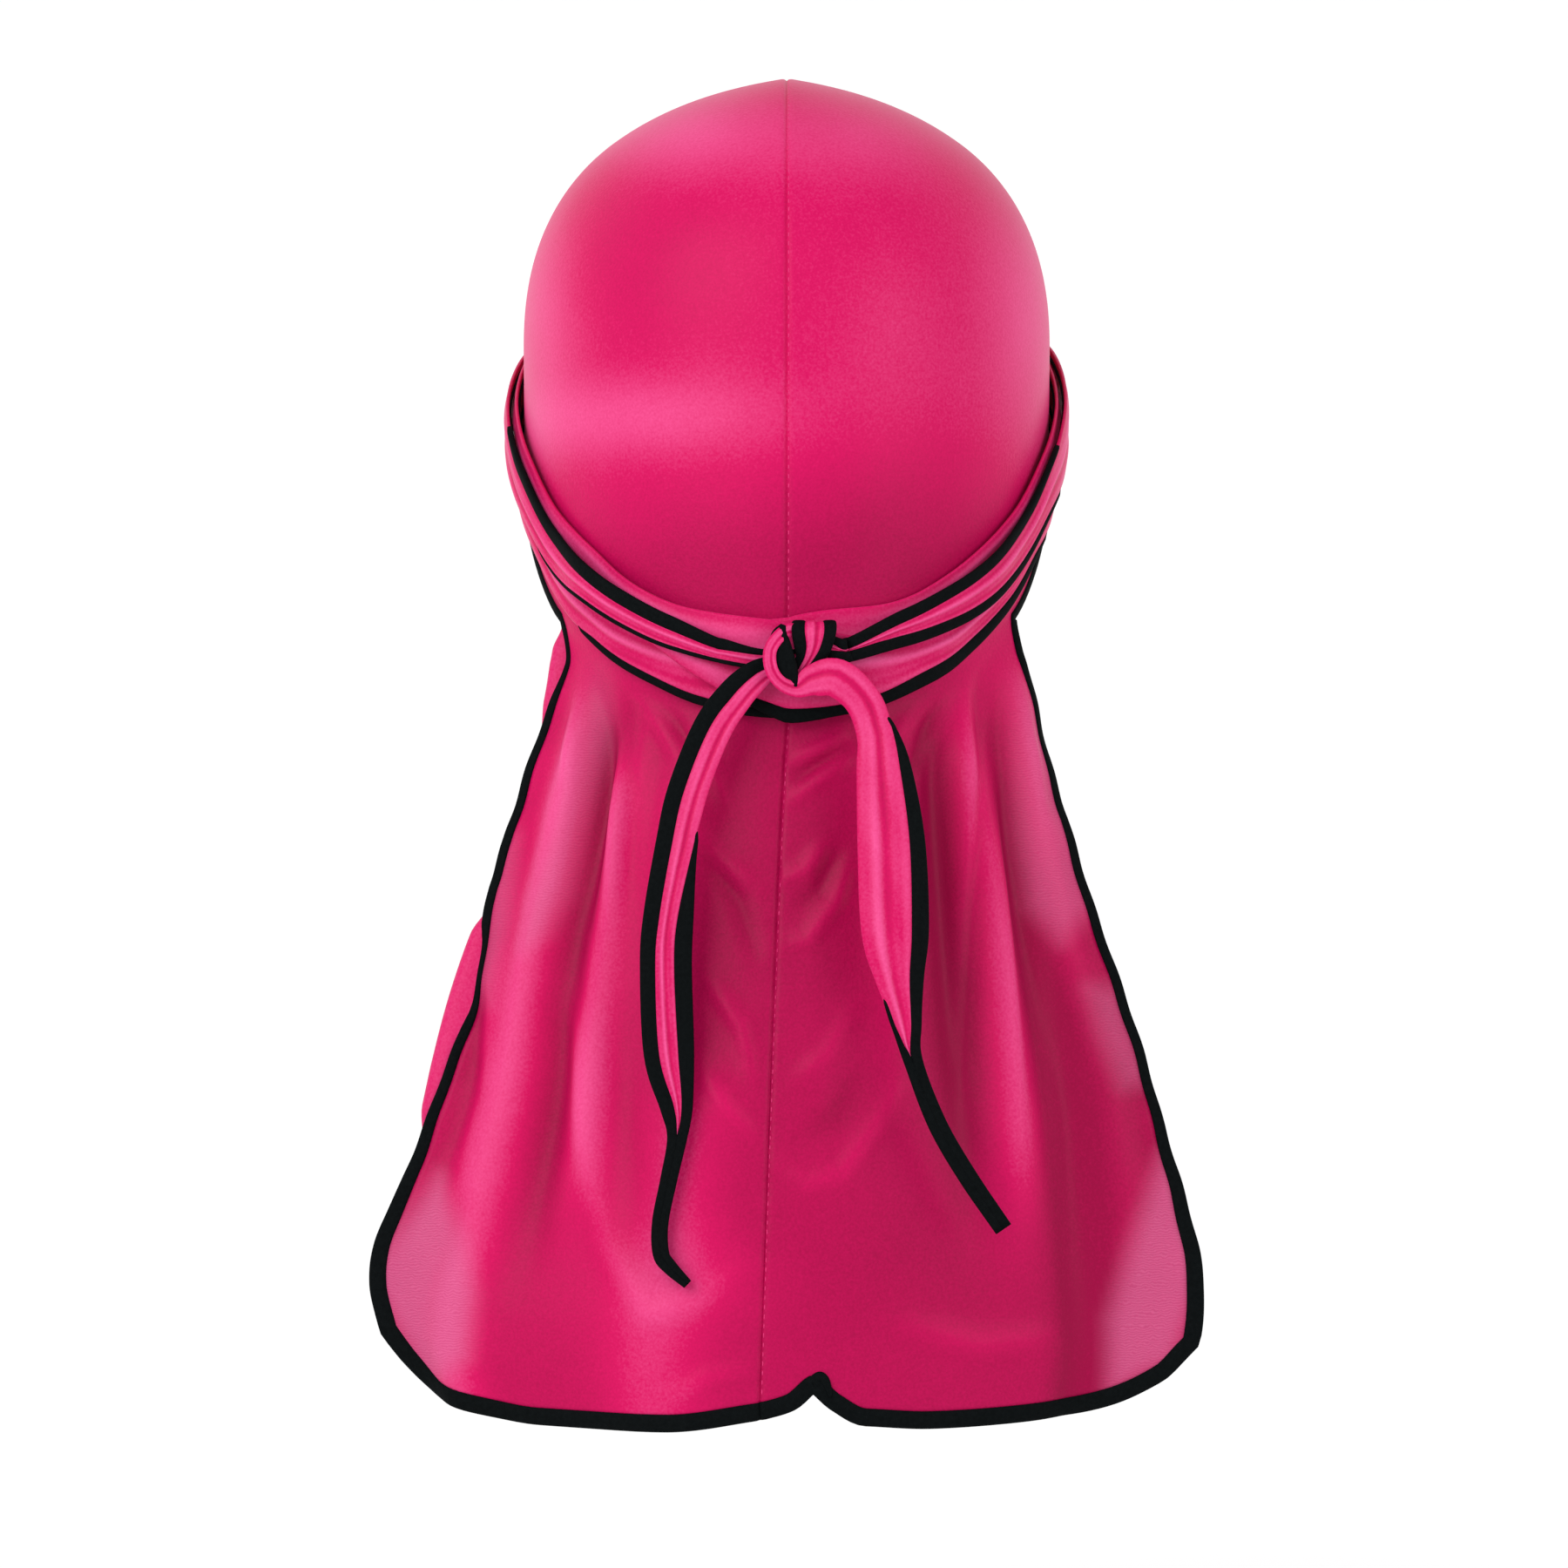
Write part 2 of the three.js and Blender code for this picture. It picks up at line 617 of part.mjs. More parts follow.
// Stations of an edge binding: just outside the edge, in the plane of the cloth
function edgeStations(border) {
  return border.map((entry, i) => {
    const before = border[Math.max(i - 1, 0)].point;
    const after = border[Math.min(i + 1, border.length - 1)].point;
    const tangent = after.clone().sub(before).normalize();
    const across = tangent.clone().cross(entry.normal).normalize();
    if (across.dot(entry.point.clone().sub(entry.inside)) < 0) across.negate();
    return { middle: entry.point, across, normal: entry.normal, width: entry.width };
  });
}

const clothMaterial = new THREE.MeshStandardMaterial({ color: clothColour, roughness: 0.42, metalness: 0 });
const tapeMaterial = new THREE.MeshStandardMaterial({ color: tapeColour, roughness: 0.75, metalness: 0 });
const durag = new THREE.Group();

function addPiece(name, geometry, material) {
  const mesh = new THREE.Mesh(geometry, material);
  mesh.name = name;
  durag.add(mesh);
}

const leftPanel = buildPanel(-1, 'left');
const rightPanel = buildPanel(1, 'right');
addPiece('panel_left', leftPanel.solid, clothMaterial);
addPiece('panel_right', rightPanel.solid, clothMaterial);

// The two bindings meet at the front of the seam and at the notch in the right panel's bottom edge
const notchColumns = 2;
const leftEdge = edgeStations(leftPanel.border);
const rightEdge = edgeStations(rightPanel.border);
const notchSteps = rightEdge.slice(-notchColumns - 1).reverse();
const tapes = {
  left: leftEdge.slice(0, -1).concat(notchSteps),
  right: rightEdge.slice(0, -notchColumns),
};
for (const [name, stations] of Object.entries(tapes)) {
  const shift = name === 'left' ? -pieceGap : pieceGap;
  for (const place of [0, stations.length - 1]) {
    stations[place].middle = stations[place].middle.clone();
    stations[place].middle.x += shift;
  }
  addPiece(
    `edge_binding_${name}`,
    sweepTape(stations, () => pieceGap, (station) => pieceGap + station.width, tapeThickness),
    tapeMaterial,
  );
}

const straps = {
  left: strapStations(leftWinding, leftKnot, leftEnd, knotOffset),
  right: mirror(strapStations(rightWinding, rightKnot, rightEnd, -knotOffset)),
};
for (const [name, stations] of Object.entries(straps)) {
  const half = (station) => station.width / 2;
  const inside = (station) => station.width / 2 - station.tape - pieceGap;
  addPiece(
    `strap_${name}`,
    sweepStrip(stations, (s) => -inside(s), inside, strapWall, tapeThickness / 4),
    clothMaterial,
  );
  addPiece(
    `strap_binding_${name}_upper`,
    sweepTape(stations, (s) => half(s) - s.tape, half, tapeThickness),
    tapeMaterial,
  );
  addPiece(
    `strap_binding_${name}_lower`,
    sweepTape(stations, (s) => -half(s), (s) => -half(s) + s.tape, tapeThickness),
    tapeMaterial,
  );
}

export default durag;
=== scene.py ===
import math

import bpy
import numpy as np
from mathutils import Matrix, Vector


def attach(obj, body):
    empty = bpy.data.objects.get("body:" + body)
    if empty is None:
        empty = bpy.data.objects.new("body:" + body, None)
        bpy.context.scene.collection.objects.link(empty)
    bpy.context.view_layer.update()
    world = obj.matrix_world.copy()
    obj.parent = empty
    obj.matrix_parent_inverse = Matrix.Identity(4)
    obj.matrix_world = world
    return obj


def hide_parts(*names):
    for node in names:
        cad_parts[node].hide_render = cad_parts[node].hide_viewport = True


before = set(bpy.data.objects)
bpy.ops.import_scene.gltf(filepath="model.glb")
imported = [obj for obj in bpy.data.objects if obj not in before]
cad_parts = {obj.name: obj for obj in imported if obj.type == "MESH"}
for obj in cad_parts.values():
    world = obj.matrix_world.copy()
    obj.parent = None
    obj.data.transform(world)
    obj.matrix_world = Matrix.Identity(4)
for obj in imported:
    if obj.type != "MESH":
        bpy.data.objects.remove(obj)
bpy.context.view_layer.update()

# Sizes are in millimetres, in the same frame as the CAD, and become metres when a mesh is made
MM = 0.001

# Cloth and binding
CLOTH_WALL = 0.7
TAPE_THICKNESS = 1.9
CAD_WALL = 1.2
TUCK = 0.5

# Crown
CROWN_HALF_WIDTH = 78.4
CROWN_HALF_LENGTH = 96.5
CROWN_DROP = 75.6
CROWN_ROUNDNESS = 2.3
BACK_FULLNESS = 8.0
SEAM_RIDGE = 5.2
RIDGE_REACH = 50.0
RIDGE_POWER = 1.5
NAPE_REACH = 100.0
HEM_DEPTH = 79.8
EAR_DEPTH = 125.8
NAPE_DEPTH = 189.8
CAPE_START = 62.0
DOME_TOP = CAD_WALL / 2 - SEAM_RIDGE

# Cape
CAPE_LENGTH = 200.0
CAPE_HALF_WIDTH = 117.0
CAPE_SIDE_BACK = 72.0
CAPE_HANG = 16.0
HANG_BY = 0.87
SIDE_SETTLE = 0.07
SEAM_DRIFT = 7.8
DRIFT_POWER = 0.8
BOTTOM_BOW = 0.9
FOLD_DEPTH = 4.4
CREASE_DEPTH = 1.25
FOLD_START = 0.14
FOLD_FADE = 0.3
NOTCH_HEIGHT = 9.0
NOTCH_ACROSS = 0.125

# Band of wound straps, knot and hanging ends
BAND_DEPTH = 172.0
BAND_RISE = 110.0
BAND_HEIGHT = 28.0
LAYER_PITCH = 2.7
STRAP_CLEARANCE = 0.9
KNOT_RADIUS = 11.5
KNOT_OFFSET = 2.8
KNOT_DEPTH = 170.8
KNOT_STRAP = 6.4
END_DROP = 178.0
END_WIDTH = 14.5
END_STAND_OFF = 7.0
SIDE_TAPE = 2.6
CORNER_TAPE = 4.8
STRAP_TAPE = 5.0
TAPE_TUCKED = 0.25
TUCKED_BACK = 1.8
TAPES_MEET = (5.6, 6.6)

# How finely the cloth is divided
CAPE_COLUMNS = 84
SIDE_COLUMNS = 64
CROWN_ROWS = 76
CAPE_ROWS = 150
SEAM_CROWDING = 1.3
SEAM_GROOVE = 0.8
SEAM_GROOVE_WIDTH = 0.7
FLAP_TUCK = 4.0
FLAPS = [(0.0, 0.2), (0.4, 0.77)]
STRAP_COLUMNS = 26
STITCH_PITCH = 2.7
STITCH_LENGTH = 1.5
STITCH_THREAD = 0.34
STITCH_SIDE = 0.55


class Table:
    """Rows of a small table, read through a smooth curve that never overshoots them."""

    def __init__(self, columns, rows):
        self.rows = np.array(rows, float)
        self.columns = columns

    def __call__(self, column, at):
        x = self.rows[:, 0]
        y = self.rows[:, self.columns.index(column)]
        slope = np.diff(y) / np.diff(x)
        tangent = np.zeros(len(x))
        tangent[0] = slope[0]
        tangent[-1] = slope[-1]
        together = slope[:-1] * slope[1:]
        total = slope[:-1] + slope[1:]
        safe = np.where(total == 0, 1.0, total)
        tangent[1:-1] = np.where(together > 0, 2 * together / safe, 0.0)
        at = np.clip(np.asarray(at, float), x[0], x[-1])
        i = np.clip(np.searchsorted(x, at, side="right") - 1, 0, len(x) - 2)
        span = x[i + 1] - x[i]
        t = (at - x[i]) / span
        rest = 1 - t
        return (
            y[i] * rest * rest * (1 + 2 * t)
            + y[i + 1] * t * t * (3 - 2 * t)
            + tangent[i] * span * t * rest * rest
            - tangent[i + 1] * span * t * t * rest
        )


def smoothstep(x, low, high):
    t = np.clip((np.asarray(x, float) - low) / (high - low), 0, 1)
    return t * t * (3 - 2 * t)


def unit(v):
    return v / np.maximum(np.linalg.norm(v, axis=-1, keepdims=True), 1e-9)


NAPE_TAPER = Table(["below", "share"], [
    (0.0, 1.0), (0.3, 0.996), (0.6, 0.975), (0.9, 0.938), (1.2, 0.9),
])

RIM = Table(["turn", "from_ear", "from_hem"], [
    (0, 1.0, 1.0), (30, 0.86, 1.0), (62, 0.47, 1.0), (90, 0.0, 1.0),
    (125, 0.0, 0.42), (150, 0.0, 0.1), (180, 0.0, 0.0),
])

BAND = Table(["turn", "rise"], [
    (0, 0.0), (20, 0.035), (36, 0.114), (56, 0.28), (70, 0.445),
    (90, 0.63), (120, 0.84), (150, 0.95), (180, 1.0),
])

# Side edges of the cape: share of the way down, the binding's share of the half width on each side, and the
# outline where cloth bulges past the left binding
CAPE_SIDE = Table(["down", "left", "right", "outline"], [
    (0.0, 0.515, 0.56, 0.56), (0.06, 0.54, 0.583, 0.572), (0.12, 0.572, 0.607, 0.588),
    (0.21, 0.628, 0.643, 0.632), (0.31, 0.68, 0.697, 0.682), (0.41, 0.732, 0.752, 0.74),
    (0.47, 0.757, 0.788, 0.782), (0.55, 0.785, 0.836, 0.828), (0.63, 0.826, 0.88, 0.864), (0.71, 0.872, 0.916, 0.895),
    (0.8, 0.927, 0.957, 0.937), (0.89, 0.99, 0.992, 0.99), (0.94, 1.0, 1.0, 1.0), (1.0, 0.972, 0.988, 0.972),
])

CAPE_BOTTOM = {
    "left": Table(["across", "down", "notch"], [
        (0.0, 0.968, 0), (0.25, 0.985, 0), (0.6, 0.982, 0),
        (0.85, 0.95, 0), (0.945, 0.908, 0), (1.0, 0.868, 0),
    ]),
    "right": Table(["across", "down", "notch"], [
        (0.0, 0.968, 0.05), (0.0625, 0.97, 0.35), (0.125, 0.972, 1), (0.1875, 0.974, 0.4), (0.25, 0.976, 0),
        (0.4, 0.982, 0), (0.75, 0.97, 0), (0.93, 0.928, 0), (1.0, 0.885, 0),
    ]),
}

# Main folds, the same as in the solids: top, bottom, wide, deep, from, to
MAIN_FOLDS = {
    "left": [
        (0.42, 0.3, 0.08, 0.6, 0.02, 0.55),
        (0.6, 0.52, 0.08, 1.0, 0.02, 0.8),
        (0.72, 0.66, 0.07, -0.9, 0.0, 0.9),
        (0.84, 0.8, 0.07, 1.0, 0.02, 1.0),
        (0.2, 0.28, 0.14, 0.8, 0.45, 1.0),
    ],
    "right": [
        (0.4, 0.3, 0.08, 0.7, 0.02, 0.6),
        (0.58, 0.5, 0.07, -0.8, 0.0, 0.8),
        (0.7, 0.6, 0.07, 1.0, 0.02, 0.9),
        (0.84, 0.76, 0.07, -0.8, 0.0, 1.0),
        (0.93, 0.9, 0.06, 0.8, 0.02, 0.9),
    ],
}


def head_share(depth):
    """How wide the head is at a depth below the dome's top, as a share of its full size."""
    depth = np.asarray(depth, float)
    height = np.clip(1 - np.maximum(depth, 0) / CROWN_DROP, 0, 1)
    dome = (1 - height ** CROWN_ROUNDNESS) ** (1 / CROWN_ROUNDNESS)
    return np.where(depth >= CROWN_DROP, NAPE_TAPER("share", (depth - CROWN_DROP) / NAPE_REACH), dome)


def head_point(turn, depth):
    turn, depth = np.broadcast_arrays(np.asarray(turn, float), np.asarray(depth, float))
    share = head_share(depth)
    angle = np.radians(turn)
    x = CROWN_HALF_WIDTH * share * np.sin(angle)
    y = -share * (CROWN_HALF_LENGTH * np.cos(angle) + BACK_FULLNESS * np.sin(angle) ** 2)
    height = np.maximum(0, 1 - depth / CROWN_DROP)
    ridge = SEAM_RIDGE * height * np.maximum(0, 1 - np.abs(x) / RIDGE_REACH) ** RIDGE_POWER
    return np.stack([x, y, DOME_TOP - depth + ridge], -1)


def head_normal(turn, depth):
    along = head_point(np.add(turn, 1), depth) - head_point(np.subtract(turn, 1), depth)
    down = head_point(turn, np.subtract(depth, 1)) - head_point(turn, np.add(depth, 1))
    return unit(np.cross(along, down))


def rim_depth(turn):
    side = np.abs(turn)
    return (
        HEM_DEPTH
        + (EAR_DEPTH - HEM_DEPTH) * RIM("from_hem", side)
        + (NAPE_DEPTH - EAR_DEPTH) * RIM("from_ear", side)
    )


def row_depth(row):
    dome = CROWN_DROP * (1 - np.cos(np.minimum(row, 1) * math.pi / 2) ** (2 / CROWN_ROUNDNESS))
    return np.where(row <= 1, dome, CROWN_DROP + (row - 1) * NAPE_REACH)


# Creases of the cape as strokes seen from behind: how far they stand out, how wide they are, and their places
# in x and z from the origin. Each fades towards its two ends.
STROKES = {
    "left": [
        (1.6, 5.0, (-78, -225), (-84, -255), (-86, -292), (-92, -325), (-104, -345)),
        (-1.8, 5.0, (-82, -240), (-91, -268), (-91, -300), (-99, -320)),
        (1.1, 4.0, (-68, -257), (-61, -283), (-56, -318), (-51, -342), (-39, -362), (-26, -360), (-12, -348),
         (-18, -338)),
        (-1.1, 6.0, (-48, -215), (-52, -270), (-46, -310), (-40, -345)),
        (1.0, 2.6, (-23, -265), (-13, -280), (-9, -298)),
        (1.0, 2.6, (-24, -292), (-17, -303), (-9, -312)),
        (0.9, 3.0, (-33, -387), (-22, -380), (-9, -378)),
        (1.3, 2.4, (-60, -178), (-60, -212), (-66, -248)),
        (-1.3, 2.4, (-55, -178), (-54, -214), (-58, -250)),
        (1.2, 2.2, (-50, -180), (-48, -212), (-50, -250)),
        (-1.0, 2.2, (-45, -182), (-43, -212), (-45, -248)),
        (1.3, 2.4, (-48, -176), (-38, -190), (-30, -204)),
        (-1.2, 2.4, (-42, -174), (-32, -190), (-24, -206)),
        (1.0, 2.2, (-34, -184), (-24, -200), (-16, -218)),
        (1.1, 3.0, (-31, -215), (-20, -232), (-9, -240)),
        (-0.9, 3.0, (-26, -225), (-14, -244), (-8, -262)),
    ],
    "right": [
        (1.2, 2.6, (0, -256), (6, -255), (14, -244), (18, -232)),
        (1.1, 2.4, (-2, -238), (5, -235), (11, -227)),
        (-1.0, 2.6, (2, -246), (9, -241), (16, -228)),
        (1.3, 3.4, (-1, -320), (6, -325), (16, -322), (26, -308), (34, -294)),
        (-1.0, 4.0, (4, -312), (14, -306), (22, -292)),
        (0.9, 3.0, (2, -296), (12, -288), (20, -272)),
        (1.2, 2.4, (0, -204), (9, -200), (18, -195)),
        (1.1, 2.4, (0, -216), (10, -208), (19, -202)),
        (-1.0, 2.2, (1, -210), (10, -204), (19, -198)),
        (1.2, 2.6, (40, -182), (32, -196), (24, -210)),
        (-1.2, 2.4, (46, -180), (40, -196), (33, -214)),
        (1.2, 2.2, (52, -178), (50, -210), (50, -250), (52, -290)),
        (-1.6, 2.2, (56, -178), (54, -215), (54, -258), (53, -300)),
        (1.4, 3.2, (60, -178), (61, -225), (62, -258), (64, -320)),
        (-1.2, 2.6, (64, -180), (68, -226), (73, -262), (80, -300)),
        (1.3, 3.0, (67, -180), (71, -236), (78, -292), (82, -340)),
        (-2.0, 8.0, (74, -220), (84, -262), (94, -300), (100, -330)),
        (1.1, 4.0, (30, -365), (55, -372), (80, -370)),
    ],
}


def along_stroke(x, z, places):
    """Distance of each point from a stroke, and how far along the stroke its nearest place is."""
    places = np.array(places, float)
    length = np.concatenate([[0], np.cumsum(np.linalg.norm(np.diff(places, axis=0), axis=1))])
    best = np.full(x.shape, np.inf)
    share = np.zeros(x.shape)
    for i in range(len(places) - 1):
        start, step = places[i], places[i + 1] - places[i]
        t = np.clip(((x - start[0]) * step[0] + (z - start[1]) * step[1]) / (step @ step), 0, 1)
        gap = np.hypot(x - start[0] - t * step[0], z - start[1] - t * step[1])
        nearer = gap < best
        best = np.where(nearer, gap, best)
        share = np.where(nearer, (length[i] + t * (length[i + 1] - length[i])) / length[-1], share)
    return best, share


class Cape:
    """The cape of one panel: its four edges, and the cloth blended between them."""

    def __init__(self, side, name):
        self.side = side
        self.name = name
        self.seam_top = head_point(0, rim_depth(0))
        self.side_top = head_point(CAPE_START, rim_depth(CAPE_START))
        self.bottom_rows = CAPE_BOTTOM[name]
        self.corner_z = self.seam_top[2] - CAPE_LENGTH * self.bottom_rows("down", 1)

    def edge(self, down, column=None):
        settle = np.minimum(1, down / SIDE_SETTLE)
        out = CAPE_HALF_WIDTH * CAPE_SIDE(column or self.name, down)
        x = self.side * (self.side_top[0] + (out - self.side_top[0]) * settle)
        y = self.side_top[1] + (-CAPE_SIDE_BACK - self.side_top[1]) * np.sin(down * math.pi / 2)
        z = self.side_top[2] + (self.corner_z - self.side_top[2]) * down
        return np.stack([x, y, z], -1)

    def seam(self, down):
        x = -SEAM_DRIFT * np.maximum(0, down) ** DRIFT_POWER
        y = self.seam_top[1] - CAPE_HANG * np.sin(np.minimum(1, down / HANG_BY) * math.pi / 2)
        z = self.seam_top[2] - CAPE_LENGTH * down * self.bottom_rows("down", 0)
        return np.stack([x, y, z], -1)

    def bottom(self, across):
        start = self.seam(np.array(1.0))
        end = self.edge(np.array(1.0))
        forward = 1 - np.sqrt(1 - BOTTOM_BOW * np.sin(across * math.pi / 2) ** 2)
        x = start[0] + (end[0] - start[0]) * across
        y = start[1] + (end[1] - start[1]) * forward / (1 - math.sqrt(1 - BOTTOM_BOW))
        z = (
            self.seam_top[2]
            - CAPE_LENGTH * self.bottom_rows("down", across)
            + NOTCH_HEIGHT * self.bottom_rows("notch", across)
        )
        return np.stack([x, y, z], -1)

    def top(self, across):
        return head_point(self.side * CAPE_START * across, rim_depth(CAPE_START * across))

    def smooth(self, across, down):
        """The four edges blended into one sheet."""
        a = across[..., None]
        d = down[..., None]
        corners = [self.top(np.array(0.0)), self.top(np.array(1.0)),
                   self.bottom(np.array(0.0)), self.bottom(np.array(1.0))]
        return (
            self.top(across) * (1 - d) + self.bottom(across) * d
            + self.seam(down) * (1 - a) + self.edge(down) * a
            - corners[0] * (1 - a) * (1 - d) - corners[1] * a * (1 - d)
            - corners[2] * (1 - a) * d - corners[3] * a * d
        )

    def main_folds(self, across, down):
        lift = np.zeros_like(across)
        for top, bottom, wide, deep, begin, finish in MAIN_FOLDS[self.name]:
            middle = top + (bottom - top) * down
            start = smoothstep(down, begin, begin + FOLD_START)
            fade = 1 if finish >= 1 else 1 - smoothstep(down, finish - FOLD_FADE, finish)
            lift += deep * start * fade * np.exp(-(((across - middle) / wide) ** 2))
        return lift * FOLD_DEPTH

    def creases(self, point, across, down):
        """Smaller folds, drawn as strokes, and a low ripple along the seam and beside the binding."""
        x, z = point[..., 0], point[..., 2]
        lift = np.zeros_like(x)
        for deep, wide, *places in STROKES[self.name]:
            gap, share = along_stroke(x, z, places)
            fade = np.sin(math.pi * np.clip(share, 0.02, 0.98)) ** 0.6
            lift += CREASE_DEPTH * deep * fade * np.exp(-((gap / wide) ** 2))
        from_seam = np.abs(x - self.seam(down)[..., 0])
        pucker = np.sin(z * 0.55 + 1.7 * np.sin(z * 0.13)) * np.exp(-from_seam / 3.5)
        rough = np.sin(z * 0.31 + across * 9) * smoothstep(across, 0.9, 1.0)
        return (lift + 0.12 * pucker + 0.25 * rough) * smoothstep(down, 0.0, 0.05)

    def points(self, across, down):
        point = self.smooth(across, down)
        lift = self.main_folds(across, down)
        turn = np.radians(CAPE_START * across)
        lift = lift + self.creases(point, across, down)
        point[..., 0] += self.side * np.sin(turn) * lift
        point[..., 1] -= np.cos(turn) * lift
        return point, lift


# Paler places of the cape, where one layer of cloth hangs, painted with the light let through it: amount, then a
# closed outline in x and z
SHEER_LIGHT_PLACES = [
    (0.75, [(-58, -172), (-52, -174), (-53, -200), (-60, -225), (-64, -242), (-70, -253), (-77, -258),
            (-75, -244), (-67, -225), (-62, -200)]),
    (0.6, [(-84, -226), (-80, -226), (-81, -250), (-86, -274), (-90, -268)]),
    (1.0, [(-101, -325), (-94, -342), (-91, -358), (-93, -376), (-104, -386), (-122, -352)]),
    (0.7, [(66, -178), (74, -178), (81, -198), (85, -225), (88, -246), (80, -256), (71, -246), (68, -225)]),
    (0.6, [(88, -270), (97, -270), (106, -297), (98, -298), (92, -284)]),
    (0.95, [(110, -318), (122, -348), (112, -378), (94, -386), (94, -366), (100, -346)]),
]

# Broad places of the satin painted lighter as highlights and deeper as shade: x, z, half width, half height, amount
PAINTED_SHEEN_AND_SHADE = [
    (-28, -20, 30, 13, 0.7), (-46, -104, 42, 11, 0.7), (-40, -58, 34, 22, -0.15), (-34, -150, 50, 20, -0.45),
    (72, -72, 14, 40, 0.65), (24, -22, 24, 13, 0.4), (34, -145, 46, 26, -0.6), (-74, -72, 12, 42, 0.65),
    (30, -85, 30, 24, 0.15), (96, -300, 18, 44, -0.45), (30, -250, 30, 60, -0.25), (-14, -260, 18, 70, -0.2),
    (-64, -300, 22, 60, 0.38), (46, -350, 50, 34, -0.15), (-26, -352, 22, 14, 0.35), (-70, -210, 16, 30, 0.3),
    (58, -200, 14, 40, 0.2),
]


def inside_outline(x, z, places):
    """Signed distance from a closed outline, positive inside it."""
    gap, _ = along_stroke(x, z, places + places[:1])
    inside = np.zeros(x.shape, bool)
    for (ax, az), (bx, bz) in zip(places, places[1:] + places[:1]):
        crosses = (az > z) != (bz > z)
        inside ^= crosses & (x < ax + (z - az) * (bx - ax) / (bz - az if bz != az else 1))
    return np.where(inside, gap, -gap)


def painted_cloth_light(points, lift):
    """How light the satin is painted at each point, from 0 to 1, with painted highlights and painted shade, and how
    sheer it is.
    """
    x, y, z = points.T
    behind = smoothstep(-y, -10, 25)
    tone = np.zeros(len(points))
    for cx, cz, wide, high, amount in PAINTED_SHEEN_AND_SHADE:
        tone += amount * np.exp(-((x - cx) / wide) ** 2 - ((z - cz) / high) ** 2)
    # Painted shade: the hanging cape is darker all over, and the folds are painted lighter on their ridges and darker
    # in their creases
    hanging = smoothstep(-z, 165, 200)
    tone = tone * behind - 0.52 * hanging + 0.2 * lift
    # Painted light let through: how much paler each sheer place is painted
    sheer = np.zeros(len(points))
    for amount, places in SHEER_LIGHT_PLACES:
        sheer = np.maximum(sheer, amount * smoothstep(inside_outline(x, z, places), -6.0, 5.0))
    return np.clip(0.5 + tone / 2, 0, 1), sheer * hanging


def write_attributes(obj, **columns):
    for name, values in columns.items():
        attribute = obj.data.attributes.new(name, "FLOAT", "POINT")
        attribute.data.foreach_set("value", np.asarray(values, np.float32))


def point_grid(points):
    """Numbers of the points of a grid, row by row."""
    return np.arange(points.shape[0] * points.shape[1]).reshape(points.shape[:2])


def grid_faces(index):
    """Quads of a grid of vertex numbers."""
    a = index[:-1, :-1].ravel()
    b = index[:-1, 1:].ravel()
    c = index[1:, 1:].ravel()
    d = index[1:, :-1].ravel()
    return np.stack([a, b, c, d], 1)


def vertex_normals(points, quads):
    normals = np.zeros_like(points)
    cross = np.cross(points[quads[:, 2]] - points[quads[:, 0]], points[quads[:, 3]] - points[quads[:, 1]])
    for k in range(4):
        np.add.at(normals, quads[:, k], cross)
    return unit(normals)


def thicken(points, quads, wall):
    """A closed double-layer mesh round a sheet: its outer side, its inner side and its rim."""
    normals = vertex_normals(points, quads)
    count = len(points)
    both = np.concatenate([points + normals * wall / 2, points - normals * wall / 2])
    inner = quads[:, ::-1] + count
    edges = np.concatenate([quads[:, [k, (k + 1) % 4]] for k in range(4)])
    keys = set(map(tuple, edges))
    rim = np.array([(a, b) for a, b in edges if a != b and (b, a) not in keys])
    walls = np.stack([rim[:, 1], rim[:, 0], rim[:, 0] + count, rim[:, 1] + count], 1)
    return both, np.concatenate([quads, inner, walls])


def make_object(name, points, faces, smooth=True):
    """A Blender mesh in metres; a face that repeats a corner becomes a triangle."""
    polygons = []
    for face in [list(map(int, face)) for face in faces]:
        clean = [v for i, v in enumerate(face) if v != face[i - 1]]
        if len(clean) >= 3:
            polygons.append(clean)
    mesh = bpy.data.meshes.new(name)
    mesh.from_pydata((np.asarray(points) * MM).tolist(), [], polygons)
    mesh.validate()
    mesh.update()
    for polygon in mesh.polygons:
        polygon.use_smooth = smooth
    obj = bpy.data.objects.new(name, mesh)
    bpy.context.collection.objects.link(obj)
    return obj


